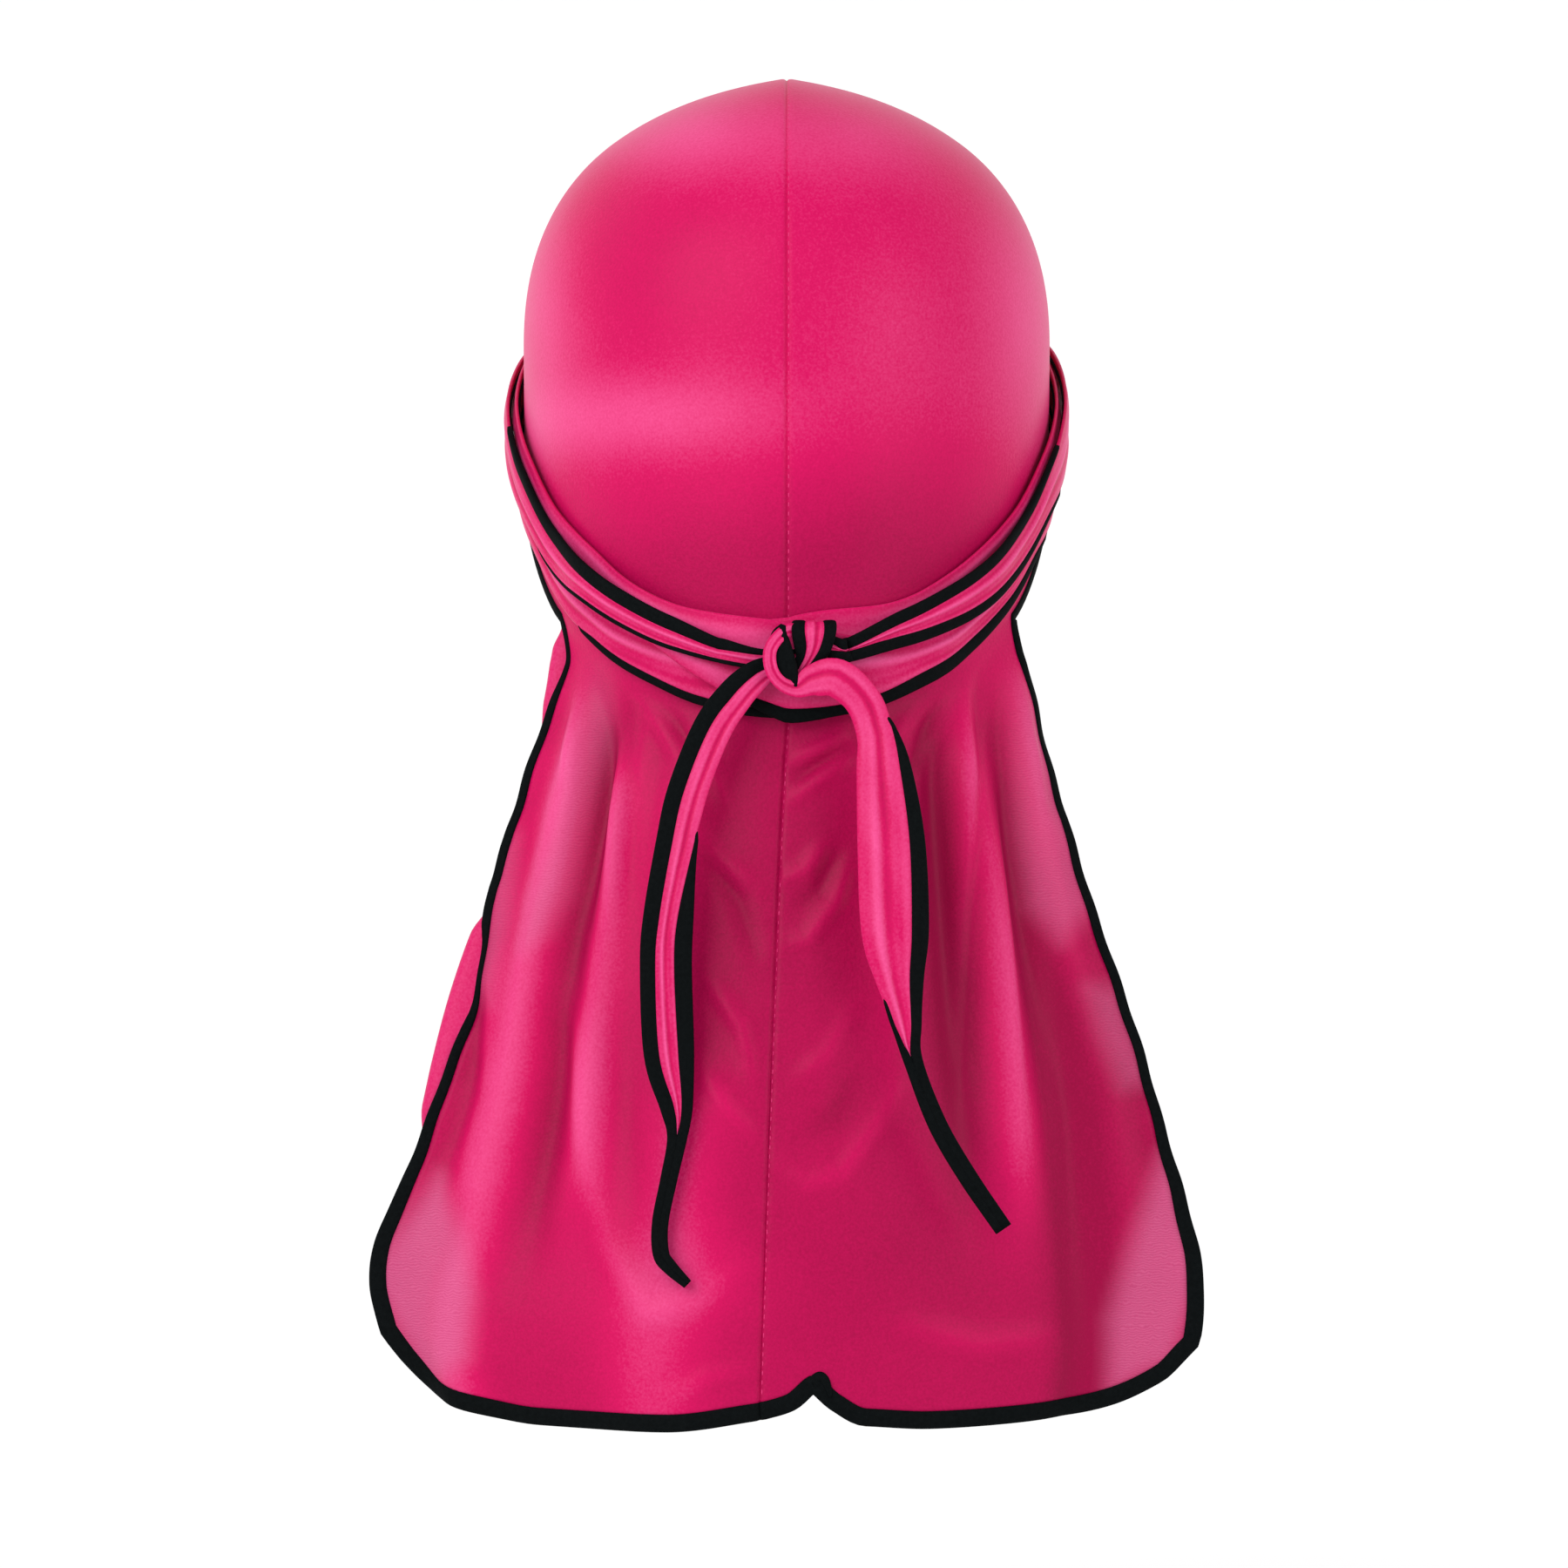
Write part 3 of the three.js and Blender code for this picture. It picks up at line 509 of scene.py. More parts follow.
def build_panel(side, name):
    """One half of the crown with its half of the cape, as one sheet, and the grids of its two parts."""
    shares = np.linspace(0, 1, CAPE_COLUMNS + 1) ** SEAM_CROWDING
    cape_turns = CAPE_START * shares
    side_turns = np.linspace(CAPE_START, 180, SIDE_COLUMNS + 1)[1:]
    turns = np.concatenate([cape_turns, side_turns])
    lowest = 1 + (rim_depth(turns) - CROWN_DROP) / NAPE_REACH
    rows = np.arange(1, CROWN_ROWS + 1) / CROWN_ROWS
    crown = head_point(side * turns[:, None], row_depth(lowest[:, None] * rows[None, :]))
    cape = Cape(side, name)
    across, down = np.meshgrid(shares, np.arange(1, CAPE_ROWS + 1) / CAPE_ROWS, indexing="ij")
    hanging, lift = cape.points(across, down)
    apex = np.array([[0, 0, DOME_TOP + SEAM_RIDGE]])
    points = np.concatenate([apex, crown.reshape(-1, 3), hanging.reshape(-1, 3)])
    crown_index = 1 + point_grid(crown)
    crown_index = np.concatenate([np.zeros((len(turns), 1), int), crown_index], 1)
    hang_index = 1 + crown.shape[0] * crown.shape[1] + point_grid(hanging)
    hang_index = np.concatenate([crown_index[:CAPE_COLUMNS + 1, -1:], hang_index], 1)
    quads = np.concatenate([grid_faces(crown_index), grid_faces(hang_index)])
    if side < 0:
        quads = quads[:, ::-1]
    seam_x = np.where(points[:, 2] < cape.seam_top[2], cape.seam(
        (cape.seam_top[2] - points[:, 2]) / (CAPE_LENGTH * cape.bottom_rows("down", 0))
    )[:, 0], 0.0)
    groove = SEAM_GROOVE * np.exp(-((points[:, 0] - seam_x) / SEAM_GROOVE_WIDTH) ** 2)
    points = points - vertex_normals(points, quads) * groove[:, None]
    # The groove also lowers the lift, which the tone turns into painted shade along the seam
    lifts = np.concatenate([np.zeros(1 + crown_index[:, 1:].size), lift.ravel()]) - groove
    return points, quads, crown_index, hang_index, lifts


# Winding of each strap from its temple: turn, place and tall as shares of the band, layer from the crown out,
# and how much of STRAP_TAPE shows along its upper and lower edge
WINDING_COLUMNS = ["turn", "place", "tall", "layer", "upper", "lower"]
WINDING = {
    "left": Table(WINDING_COLUMNS, [
        (-133, 0.27, 0.5, 1, 0.5, 0.3), (-100, 0.25, 0.48, 1, 0.0, 0.0), (-62, 0.27, 0.46, 1, 0.0, 0.0),
        (-46, 0.3, 0.46, 1, 0.0, 0.0), (-32, 0.25, 0.5, 2, 0.0, 0.0), (-14, 0.09, 0.8, 2, 0.0, 0.0),
        (-7, 0.02, 0.94, 2, 0.0, 0.7), (0, -0.04, 1.04, 2, 0.0, 0.9), (12, -0.13, 0.84, 2, 0.0, 0.7),
        (32, -0.25, 0.5, 2, 0.0, 1.0), (46, -0.3, 0.46, 1, 0.0, 1.0), (64, -0.29, 0.46, 1, 0.0, 0.8),
        (80, -0.27, 0.46, 1, 0.0, 0.0), (100, -0.26, 0.46, 1, 0.0, 0.0), (120, -0.26, 0.46, 1, 0.3, 0.4),
        (138, -0.26, 0.46, 1, 0.4, 0.5), (152, -0.24, 0.44, 2, 0.45, 0.5), (180, 0.0, 0.5, 2, 0.5, 0.5),
        (208, 0.24, 0.44, 2, 0.5, 0.45), (232, 0.2, 0.5, 2, 0.6, 0.4), (258, 0.17, 0.53, 2, 0.0, 0.0),
        (276, 0.155, 0.54, 2, 0.1, 0.0), (288, 0.14, 0.54, 2, 0.8, 0.0), (303, 0.13, 0.53, 2, 0.95, 0.3),
        (316, 0.22, 0.44, 3, 1.0, 0.35), (336, 0.2, 0.36, 3, 0.9, 0.3), (346, 0.12, 0.26, 3, 0.7, 0.25),
    ]),
    "right": Table(WINDING_COLUMNS, [
        (-133, 0.27, 0.5, 1, 0.5, 0.3), (-100, 0.26, 0.47, 1, 0.0, 0.0), (-46, 0.3, 0.46, 1, 0.0, 0.0),
        (-32, 0.25, 0.5, 1, 0.0, 0.0), (0, 0.0, 1.04, 1, 0.0, 0.6), (32, -0.25, 0.5, 1, 0.0, 0.6),
        (46, -0.3, 0.46, 1, 0.0, 0.55), (56, -0.29, 0.46, 1, 0.0, 0.0), (100, -0.26, 0.46, 1, 0.0, 0.0),
        (125, -0.25, 0.45, 1, 0.3, 0.5), (152, -0.24, 0.44, 1, 0.4, 0.5), (180, 0.0, 0.5, 1, 0.5, 0.5),
        (206, 0.25, 0.42, 1, 0.5, 0.5), (220, 0.25, 0.48, 2, 0.5, 0.5), (236, 0.245, 0.54, 2, 0.5, 0.45),
        (258, 0.235, 0.61, 2, 0.0, 0.0), (278, 0.2, 0.62, 2, 0.0, 0.0), (290, 0.19, 0.61, 2, 0.3, 0.5),
        (300, 0.18, 0.6, 2, 0.7, 0.7), (316, 0.22, 0.54, 3, 0.8, 0.75), (336, 0.25, 0.4, 3.3, 0.8, 0.8),
        (348, 0.14, 0.26, 3.8, 0.7, 0.7),
    ]),
}

# Route through the knot as shares of its radius, with the strap coming from the left: across, up, layer,
# turned over, width as a share of KNOT_STRAP, and how much tape shows along each edge
KNOT = {
    "left": [
        (-1.1, 0.1, 3, 0, 1.0, 0.4, 0.2), (-0.45, 0.05, 3, 0, 1.0, 0.3, 0.2), (0.1, 0.1, 3, 0, 1.0, 0.3, 0.3),
        (0.42, 0.4, 3, 0, 1.3, 0.6, 0.6), (0.44, 0.82, 3.1, 20, 1.8, 0.8, 0.8),
        (0.44, 0.98, 4.2, 90, 2.0, 0.8, 0.8), (0.43, 0.74, 5.1, 165, 2.0, 0.8, 0.75),
        (0.38, 0.36, 4.9, 180, 1.7, 0.8, 0.7), (0.25, 0.0, 4.4, 180, 1.1, 0.5, 0.5),
        (0.0, -0.28, 4.0, 180, 0.9, 0.4, 0.3), (-0.35, -0.2, 3.9, 180, 0.9, 0.8, 0.0),
        (-0.66, -0.16, 4.0, 180, 1.1, 1.0, 0.0), (-1.05, -0.36, 4.2, 180, 1.4, 1.0, 0.0),
    ],
    "right": [
        (-1.15, 0.3, 4.1, 0, 1.0, 0.6, 0.6), (-0.78, 0.42, 4.2, 0, 1.0, 0.4, 0.4),
        (-0.35, 0.62, 4.3, 0, 0.8, 0.0, 0.0), (0.1, 0.8, 4.8, 0, 0.62, 0.0, 0.0),
        (0.42, 0.66, 5.6, 0, 0.6, 0.0, 0.0), (0.66, 0.28, 5.9, 0, 0.6, 0.0, 0.0),
        (0.62, -0.2, 5.9, 0, 0.6, 0.0, 0.0), (0.36, -0.54, 5.6, 0, 0.62, 0.0, 0.0),
        (-0.02, -0.66, 5.1, 0, 0.8, 0.0, 0.0), (-0.42, -0.46, 5.3, 0, 1.45, 0.0, 0.0),
        (-1.0, -0.4, 5.7, 0, 1.75, 0.0, 0.0), (-1.62, -0.92, 5.6, 0, 1.65, 0.0, 0.0),
    ],
}

# Tape of the left strap folded inside the knot: x, z, width and layer
KNOT_FOLD = [
    (-1.0, -164.6, 1.6, 5.0), (-2.1, -168.0, 5.2, 5.3), (-1.4, -172.6, 6.4, 5.4), (0.4, -177.6, 5.6, 5.3),
    (2.0, -181.4, 3.0, 5.0), (2.9, -183.4, 1.0, 4.7),
]

# Folded ends of the two bindings at the notch: x, z and width
NOTCH_FOLD = [
    (5.2, -386.4, 1.4), (7.2, -382.0, 2.8), (9.4, -380.2, 3.0), (11.2, -381.8, 2.6), (12.6, -386.0, 1.2),
]

# Hanging ends: down and side as shares of END_DROP, width as a share of END_WIDTH, how far they stand off,
# and how much tape shows along the outer (first) and inner edge of the strap
HANGING = {
    "left": [
        (0.055, -0.1, 0.72, 0.1, 1.0, 0.0), (0.11, -0.137, 0.78, 0.2, 1.0, 0.0),
        (0.21, -0.176, 0.8, 0.5, 1.0, 0.0), (0.295, -0.193, 0.84, 0.7, 1.0, 0.3),
        (0.41, -0.206, 1.0, 0.9, 1.0, 1.0), (0.49, -0.21, 1.03, 1.0, 0.95, 1.1),
        (0.63, -0.205, 1.0, 1.0, 0.95, 1.0), (0.715, -0.193, 0.66, 1.0, 0.85, 0.7),
        (0.765, -0.192, 0.4, 1.0, 0.6, 0.6), (0.83, -0.205, 0.34, 1.0, 0.48, 0.48),
        (0.9, -0.219, 0.33, 1.0, 0.46, 0.46), (0.95, -0.218, 0.33, 1.0, 0.46, 0.46),
        (0.972, -0.204, 0.3, 1.0, 0.42, 0.42), (1.0, -0.175, 0.2, 1.0, 0.28, 0.28),
    ],
    "right": [
        (0.112, -0.128, 0.8, 0.1, 0.0, 0.25), (0.17, -0.14, 1.08, 0.4, 0.0, 0.7),
        (0.29, -0.152, 1.34, 0.8, 0.0, 0.95), (0.43, -0.158, 1.34, 1.0, 0.0, 1.05),
        (0.51, -0.165, 0.98, 1.0, 0.12, 0.9), (0.58, -0.176, 0.62, 1.0, 0.25, 0.65),
        (0.64, -0.187, 0.38, 1.0, 0.45, 0.6), (0.74, -0.225, 0.38, 1.0, 0.55, 0.55),
        (0.825, -0.274, 0.38, 1.0, 0.55, 0.55), (0.91, -0.332, 0.36, 1.0, 0.52, 0.52),
    ],
}

TURN_STEP = 1.5
ROUTE_STEPS = 8


# Over the forehead the upper strap leans in until its upper edge rests on the crown, between these turns
LEAN_BEGINS = (176, 192)
LEAN_ENDS = (216, 230)


def layer_out(layer):
    return CAD_WALL / 2 + STRAP_CLEARANCE + TAPE_THICKNESS / 2 + (layer - 1) * LAYER_PITCH


def spline(values, steps):
    """A Catmull-Rom curve through the rows of values."""
    v = np.asarray(values, float)
    v = np.concatenate([2 * v[:1] - v[1:2], v, 2 * v[-1:] - v[-2:-1]])
    out = []
    for i in range(1, len(v) - 2):
        for t in np.arange(steps) / steps:
            p0, p1, p2, p3 = v[i - 1], v[i], v[i + 1], v[i + 2]
            out.append(0.5 * (
                2 * p1 + (p2 - p0) * t + (2 * p0 - 5 * p1 + 4 * p2 - p3) * t ** 2
                + (3 * p1 - p0 - 3 * p2 + p3) * t ** 3
            ))
    out.append(v[-2])
    return np.array(out)


class Strip:
    """Stations along a strap: middle, directions across and out, width, the tape that shows on each edge, and
    facing, which is 1 where the outer side shows and -1 where the strap is turned over."""

    KEYS = ("middle", "across", "normal", "width", "upper", "lower", "facing")

    def __init__(self, middle, across, normal, width, upper=None, lower=None, facing=None):
        self.middle = middle
        self.across = across
        self.normal = normal
        self.width = width
        self.upper = width if upper is None else upper
        self.lower = width if lower is None else lower
        self.facing = np.ones(len(middle)) if facing is None else facing
        step = np.linalg.norm(np.diff(middle, axis=0), axis=1)
        self.length = np.concatenate([[0], np.cumsum(step)])

    def mirrored(self):
        flip = np.array([-1, 1, 1])
        turned = Strip(self.middle * flip, self.across * flip, self.normal * flip, self.width)
        turned.upper, turned.lower, turned.facing = self.upper, self.lower, self.facing
        return turned

    def part(self, keep):
        return Strip(*[getattr(self, key)[keep] for key in self.KEYS])

    def joined(self, other):
        return Strip(*[np.concatenate([getattr(self, key), getattr(other, key)]) for key in self.KEYS])


def strap_strip(name, centre):
    """The whole course of a strap that comes from the left: round the head, through the knot, then hanging."""
    winding = WINDING[name]
    first, last = winding.rows[0, 0], winding.rows[-1, 0]
    turn = np.linspace(first, last, int((last - first) / TURN_STEP))
    around = np.abs((turn + 180) % 360 - 180)
    place = winding("place", turn) * BAND_HEIGHT
    tall = winding("tall", turn) * BAND_HEIGHT
    depth = BAND_DEPTH - BAND_RISE * BAND("rise", around) - place
    normal = head_normal(turn, depth)
    middle = head_point(turn, depth) + normal * layer_out(winding("layer", turn))[:, None]
    across = unit(head_point(turn, depth - tall / 2) - head_point(turn, depth + tall / 2))
    lean = layer_out(winding("layer", turn)) - (TAPE_THICKNESS + CLOTH_WALL) / 2
    lean = lean * smoothstep(turn, *LEAN_BEGINS) * (1 - smoothstep(turn, *LEAN_ENDS))
    middle = middle - normal * lean[:, None] / 2
    across = unit(across - normal * (lean / tall)[:, None])
    normal = unit(normal - across * np.sum(normal * across, axis=1, keepdims=True))
    back = head_point(0, KNOT_DEPTH)[1]
    knot_z = DOME_TOP - KNOT_DEPTH
    rows = []
    for place_x, up, layer, over, wide, upper, lower in KNOT[name]:
        rows.append((
            centre + place_x * KNOT_RADIUS, back - layer_out(layer), knot_z + up * KNOT_RADIUS,
            over, KNOT_STRAP * wide, upper, lower,
        ))
    leave = rows[-1][1]
    over = rows[-1][3]
    for down, side, wide, out, upper, lower in HANGING[name]:
        rows.append((
            centre + side * END_DROP, leave - out * END_STAND_OFF, knot_z - down * END_DROP,
            over, wide * END_WIDTH, upper, lower,
        ))
    start = (*middle[-1], 0, tall[-1], winding("upper", last), winding("lower", last))
    route = spline([start, *rows], ROUTE_STEPS)[1:]
    path = np.concatenate([middle[-1:], route[:, :3]])
    tangent = unit(np.gradient(path, axis=0))[1:]
    angle = np.radians(route[:, 3])
    face = np.stack([0 * angle, -np.cos(angle), -np.sin(angle)], 1)
    route_across = unit(np.cross(face, tangent))
    route_normal = unit(np.cross(tangent, route_across))
    return Strip(
        np.concatenate([middle, route[:, :3]]),
        np.concatenate([across, route_across]),
        np.concatenate([normal, route_normal]),
        np.concatenate([tall, route[:, 4]]),
        np.concatenate([winding("upper", turn), np.maximum(route[:, 5], 0)]),
        np.concatenate([winding("lower", turn), np.maximum(route[:, 6], 0)]),
        np.concatenate([np.ones(len(turn)), np.cos(angle)]),
    )


def tape_width(share, width):
    """How wide a tape lies on a strap's edge. One that is tucked away keeps a narrow strip behind the cloth,
    and the two meet over the cloth where the strap has narrowed to its tip."""
    meeting = 1 - smoothstep(width, *TAPES_MEET)
    wide = np.maximum(share, TAPE_TUCKED) * STRAP_TAPE * (1 + 0.25 * meeting)
    return np.minimum(wide, width * (0.47 + 0.1 * meeting))


def tape_shown(share):
    return smoothstep(share, 0.02, TAPE_TUCKED)


def sweep(strip, section):
    """A closed tube through the strip's stations; section gives each ring as (place across, height out)."""
    rings = np.array(section)
    place = rings[..., 0][..., None]
    out = rings[..., 1][..., None]
    points = strip.middle[:, None] + strip.across[:, None] * place + strip.normal[:, None] * out
    count, ring = points.shape[:2]
    index = point_grid(points)
    index = np.concatenate([index, index[:, :1]], 1)
    quads = grid_faces(index)
    faces = quads.tolist()
    faces.append(list(range(ring))[::-1])
    faces.append(list(range((count - 1) * ring, count * ring)))
    return points.reshape(-1, 3), faces


def oval(low, high, wall, sides):
    """A flat section with round edges from low to high across the strip."""
    wall = np.broadcast_to(wall, low.shape)[:, None]
    angle = np.arange(sides) * 2 * math.pi / sides
    middle = (low + high) / 2
    half = (high - low) / 2
    place = middle[:, None] + half[:, None] * np.sign(np.cos(angle)) * np.abs(np.cos(angle)) ** 0.6
    out = wall / 2 * (np.sign(np.sin(angle)) * np.abs(np.sin(angle)) ** 0.7)[None]
    return np.stack([place, out], -1)


def strap_cloth(strip, phase):
    """The strap's cloth between its two tapes, creased along its length, and over a tape that is tucked."""
    upper_edge = strip.width / 2 - (tape_width(strip.upper, strip.width) - TUCK) * tape_shown(strip.upper)
    lower_edge = strip.width / 2 - (tape_width(strip.lower, strip.width) - TUCK) * tape_shown(strip.lower)
    share = np.linspace(-1, 1, STRAP_COLUMNS)
    run = strip.length[:, None] / 14 + phase
    crease = (
        0.55 * np.sin(share * 5.2 + 0.7 * np.sin(run * 0.35))
        + 0.3 * np.sin(share * 10.5 + 1.3 * np.sin(run * 0.5 + 1))
        + 0.12 * np.sin(share * 3 + run * 3.1)
    )
    size = np.clip(strip.width / 14, 0.25, 1)[:, None]
    bulge = 0.55 * np.sqrt(1 - share ** 2)
    full = (0.5 + bulge + crease * 0.5 * (1 - share ** 4)) * size
    flat = 0.35 * np.ones_like(full) * size
    seen = (1 + strip.facing[:, None]) / 2
    top = seen * full + (1 - seen) * flat
    bottom = -seen * flat - (1 - seen) * full
    place = -lower_edge[:, None] + (lower_edge + upper_edge)[:, None] * (share[None] + 1) / 2
    above = np.stack([place, top], -1)
    below = np.stack([place, bottom], -1)[:, ::-1]
    # Painted highlight along the ridges of the creases and painted shade in their valleys, darker towards the edges;
    # the side that is turned away keeps a fixed tone of 0.4
    tone = np.clip(0.64 + 0.35 * crease * (1 - share ** 4) - 0.12 * share ** 6, 0, 1)
    back = 0.4 * seen + tone * (1 - seen)
    strap_shading = np.concatenate([tone * seen + 0.4 * (1 - seen), back[:, ::-1]], 1)
    return *sweep(strip, np.concatenate([above, below], 1)), strap_shading.ravel()


def strap_tape(strip, upper):
    """One of the strap's two tapes: along the edge where it shows, behind the cloth where it is tucked."""
    share = strip.upper if upper else strip.lower
    wide = tape_width(share, strip.width)
    hidden = 1 - tape_shown(share)
    outer = strip.width / 2 - hidden * TUCKED_BACK
    ring = oval(outer - wide, outer, TAPE_THICKNESS * (1 - 0.5 * hidden), 14)
    if not upper:
        ring[..., 0] *= -1
    ring[..., 1] -= (0.5 * hidden * strip.facing)[:, None]
    return sweep(strip, ring)


def edge_strip(points, inside, normals, width):
    """Stations just outside an edge of the cloth, in the plane of the cloth."""
    tangent = unit(np.gradient(points, axis=0))
    across = unit(np.cross(tangent, normals))
    outward = np.sum(across * (points - inside), axis=1)
    across[outward < 0] *= -1
    return Strip(points, across, normals, width)


def panel_border(points, normals, crown_index, hang_index):
    """The edge from the front of the seam along the rim, down the cape's side and along its bottom."""
    rim = crown_index[:CAPE_COLUMNS:-1, -1]
    rim_inside = crown_index[:CAPE_COLUMNS:-1, -2]
    side = hang_index[-1, :-1]
    side_inside = hang_index[-2, :-1]
    bottom = hang_index[::-1, -1]
    bottom_inside = hang_index[::-1, -2]
    growth = smoothstep(np.arange(len(side)) / len(side), 0.6, 1.0)
    width = np.concatenate([
        np.full(len(rim), SIDE_TAPE),
        SIDE_TAPE + (CORNER_TAPE - SIDE_TAPE) * growth,
        np.full(len(bottom), CORNER_TAPE),
    ])
    edge = np.concatenate([rim, side, bottom])
    within = np.concatenate([rim_inside, side_inside, bottom_inside])
    return edge_strip(points[edge], points[within], normals[edge], width)


def build_flap(cape, begin, finish):
    """Cloth that bulges out past the binding between two places down the cape's side."""
    down = np.linspace(begin, finish, 48)
    open_by = smoothstep(down, begin, begin + 0.05) * (1 - smoothstep(down, finish - 0.08, finish))
    share = np.linspace(0, 1, 9)[:, None]
    bound = cape.edge(down)
    outline = cape.edge(down, "outline")
    inner = bound[:, 0] - cape.side * FLAP_TUCK * open_by
    full = outline[:, 0] + cape.side * (SIDE_TAPE - CLOTH_WALL)
    outer = bound[:, 0] + (full - bound[:, 0]) * open_by + cape.side * 0.3
    x = inner + (outer - inner) * np.sin(share * math.pi / 2)
    y = bound[:, 1] + 1.5 + (1.6 * share ** 3 - 0.9 * np.sin(share * math.pi)) * open_by
    z = bound[:, 2] + 0 * x
    points = np.stack([x, y, z], -1)
    index = point_grid(points)
    quads = grid_faces(index)
    return points.reshape(-1, 3), quads if cape.side > 0 else quads[:, ::-1]


def seam_line():
    """The centre seam from its front end over the crown and down the cape."""
    front = np.linspace(HEM_DEPTH, 0.5, 60)
    back = np.linspace(0.5, NAPE_DEPTH, 140)
    down = np.linspace(0.01, 0.985, 130)
    cape = Cape(1, "right")
    hanging, _ = cape.points(np.zeros_like(down), down)
    return np.concatenate([head_point(180, front), head_point(0, back), hanging])


def build_stitches():
    """A short raised dash of thread for each stitch, just beside the seam."""
    line = seam_line()
    length = np.concatenate([[0], np.cumsum(np.linalg.norm(np.diff(line, axis=0), axis=1))])
    at = np.arange(STITCH_PITCH, length[-1], STITCH_PITCH)
    middle = np.stack([np.interp(at, length, line[:, k]) for k in range(3)], 1)
    ahead = np.stack([np.interp(at + 0.5, length, line[:, k]) for k in range(3)], 1)
    along = unit(ahead - middle)
    across = np.tile([1.0, 0.0, 0.0], (len(at), 1))
    out = unit(np.cross(along, across))
    out *= np.where(np.sum(out * (middle - [0, 0, -100.0]), axis=1) < 0, -1, 1)[:, None]
    middle = middle + across * STITCH_SIDE - out * 0.1
    angle = np.arange(6) * math.pi / 3
    points = []
    faces = []
    for centre, ahead_way, side_way, up_way in zip(middle, along, across, out):
        first = len(points)
        for place, girth in ((-0.5, 0.45), (-0.25, 1.0), (0.25, 1.0), (0.5, 0.45)):
            for turn in angle:
                points.append(
                    centre + ahead_way * place * STITCH_LENGTH
                    + (side_way * math.cos(turn) + up_way * math.sin(turn)) * STITCH_THREAD / 2 * girth
                )
        for ring in range(3):
            for k in range(6):
                a = first + ring * 6 + k
                b = first + ring * 6 + (k + 1) % 6
                faces.append([a, b, b + 6, a + 6])
        faces.append([first + k for k in range(5, -1, -1)])
        faces.append([first + 18 + k for k in range(6)])
    return np.array(points), faces


def folded_tape(rows):
    """A short fold of tape seen flat from behind, through rows of x, y, z and width."""
    rows = spline(rows, ROUTE_STEPS)
    middle = rows[:, :3]
    normal = np.tile([0.0, -1.0, 0.0], (len(middle), 1))
    across = unit(np.cross(normal, unit(np.gradient(middle, axis=0))))
    strip = Strip(middle, across, normal, rows[:, 3])
    return sweep(strip, oval(-strip.width / 2, strip.width / 2, TAPE_THICKNESS, 16))


def merge(*shapes):
    """Several meshes as one: their points, then their faces."""
    points = []
    faces = []
    for shape_points, shape_faces in shapes:
        start = sum(len(p) for p in points)
        points.append(np.asarray(shape_points))
        faces.extend([[int(v) + start for v in face] for face in shape_faces])
    return np.concatenate(points), faces


def nodes_of(name):
    material = bpy.data.materials.new(name)
    material.use_nodes = True
    tree = material.node_tree
    shader = tree.nodes["Principled BSDF"]
    return material, tree, shader


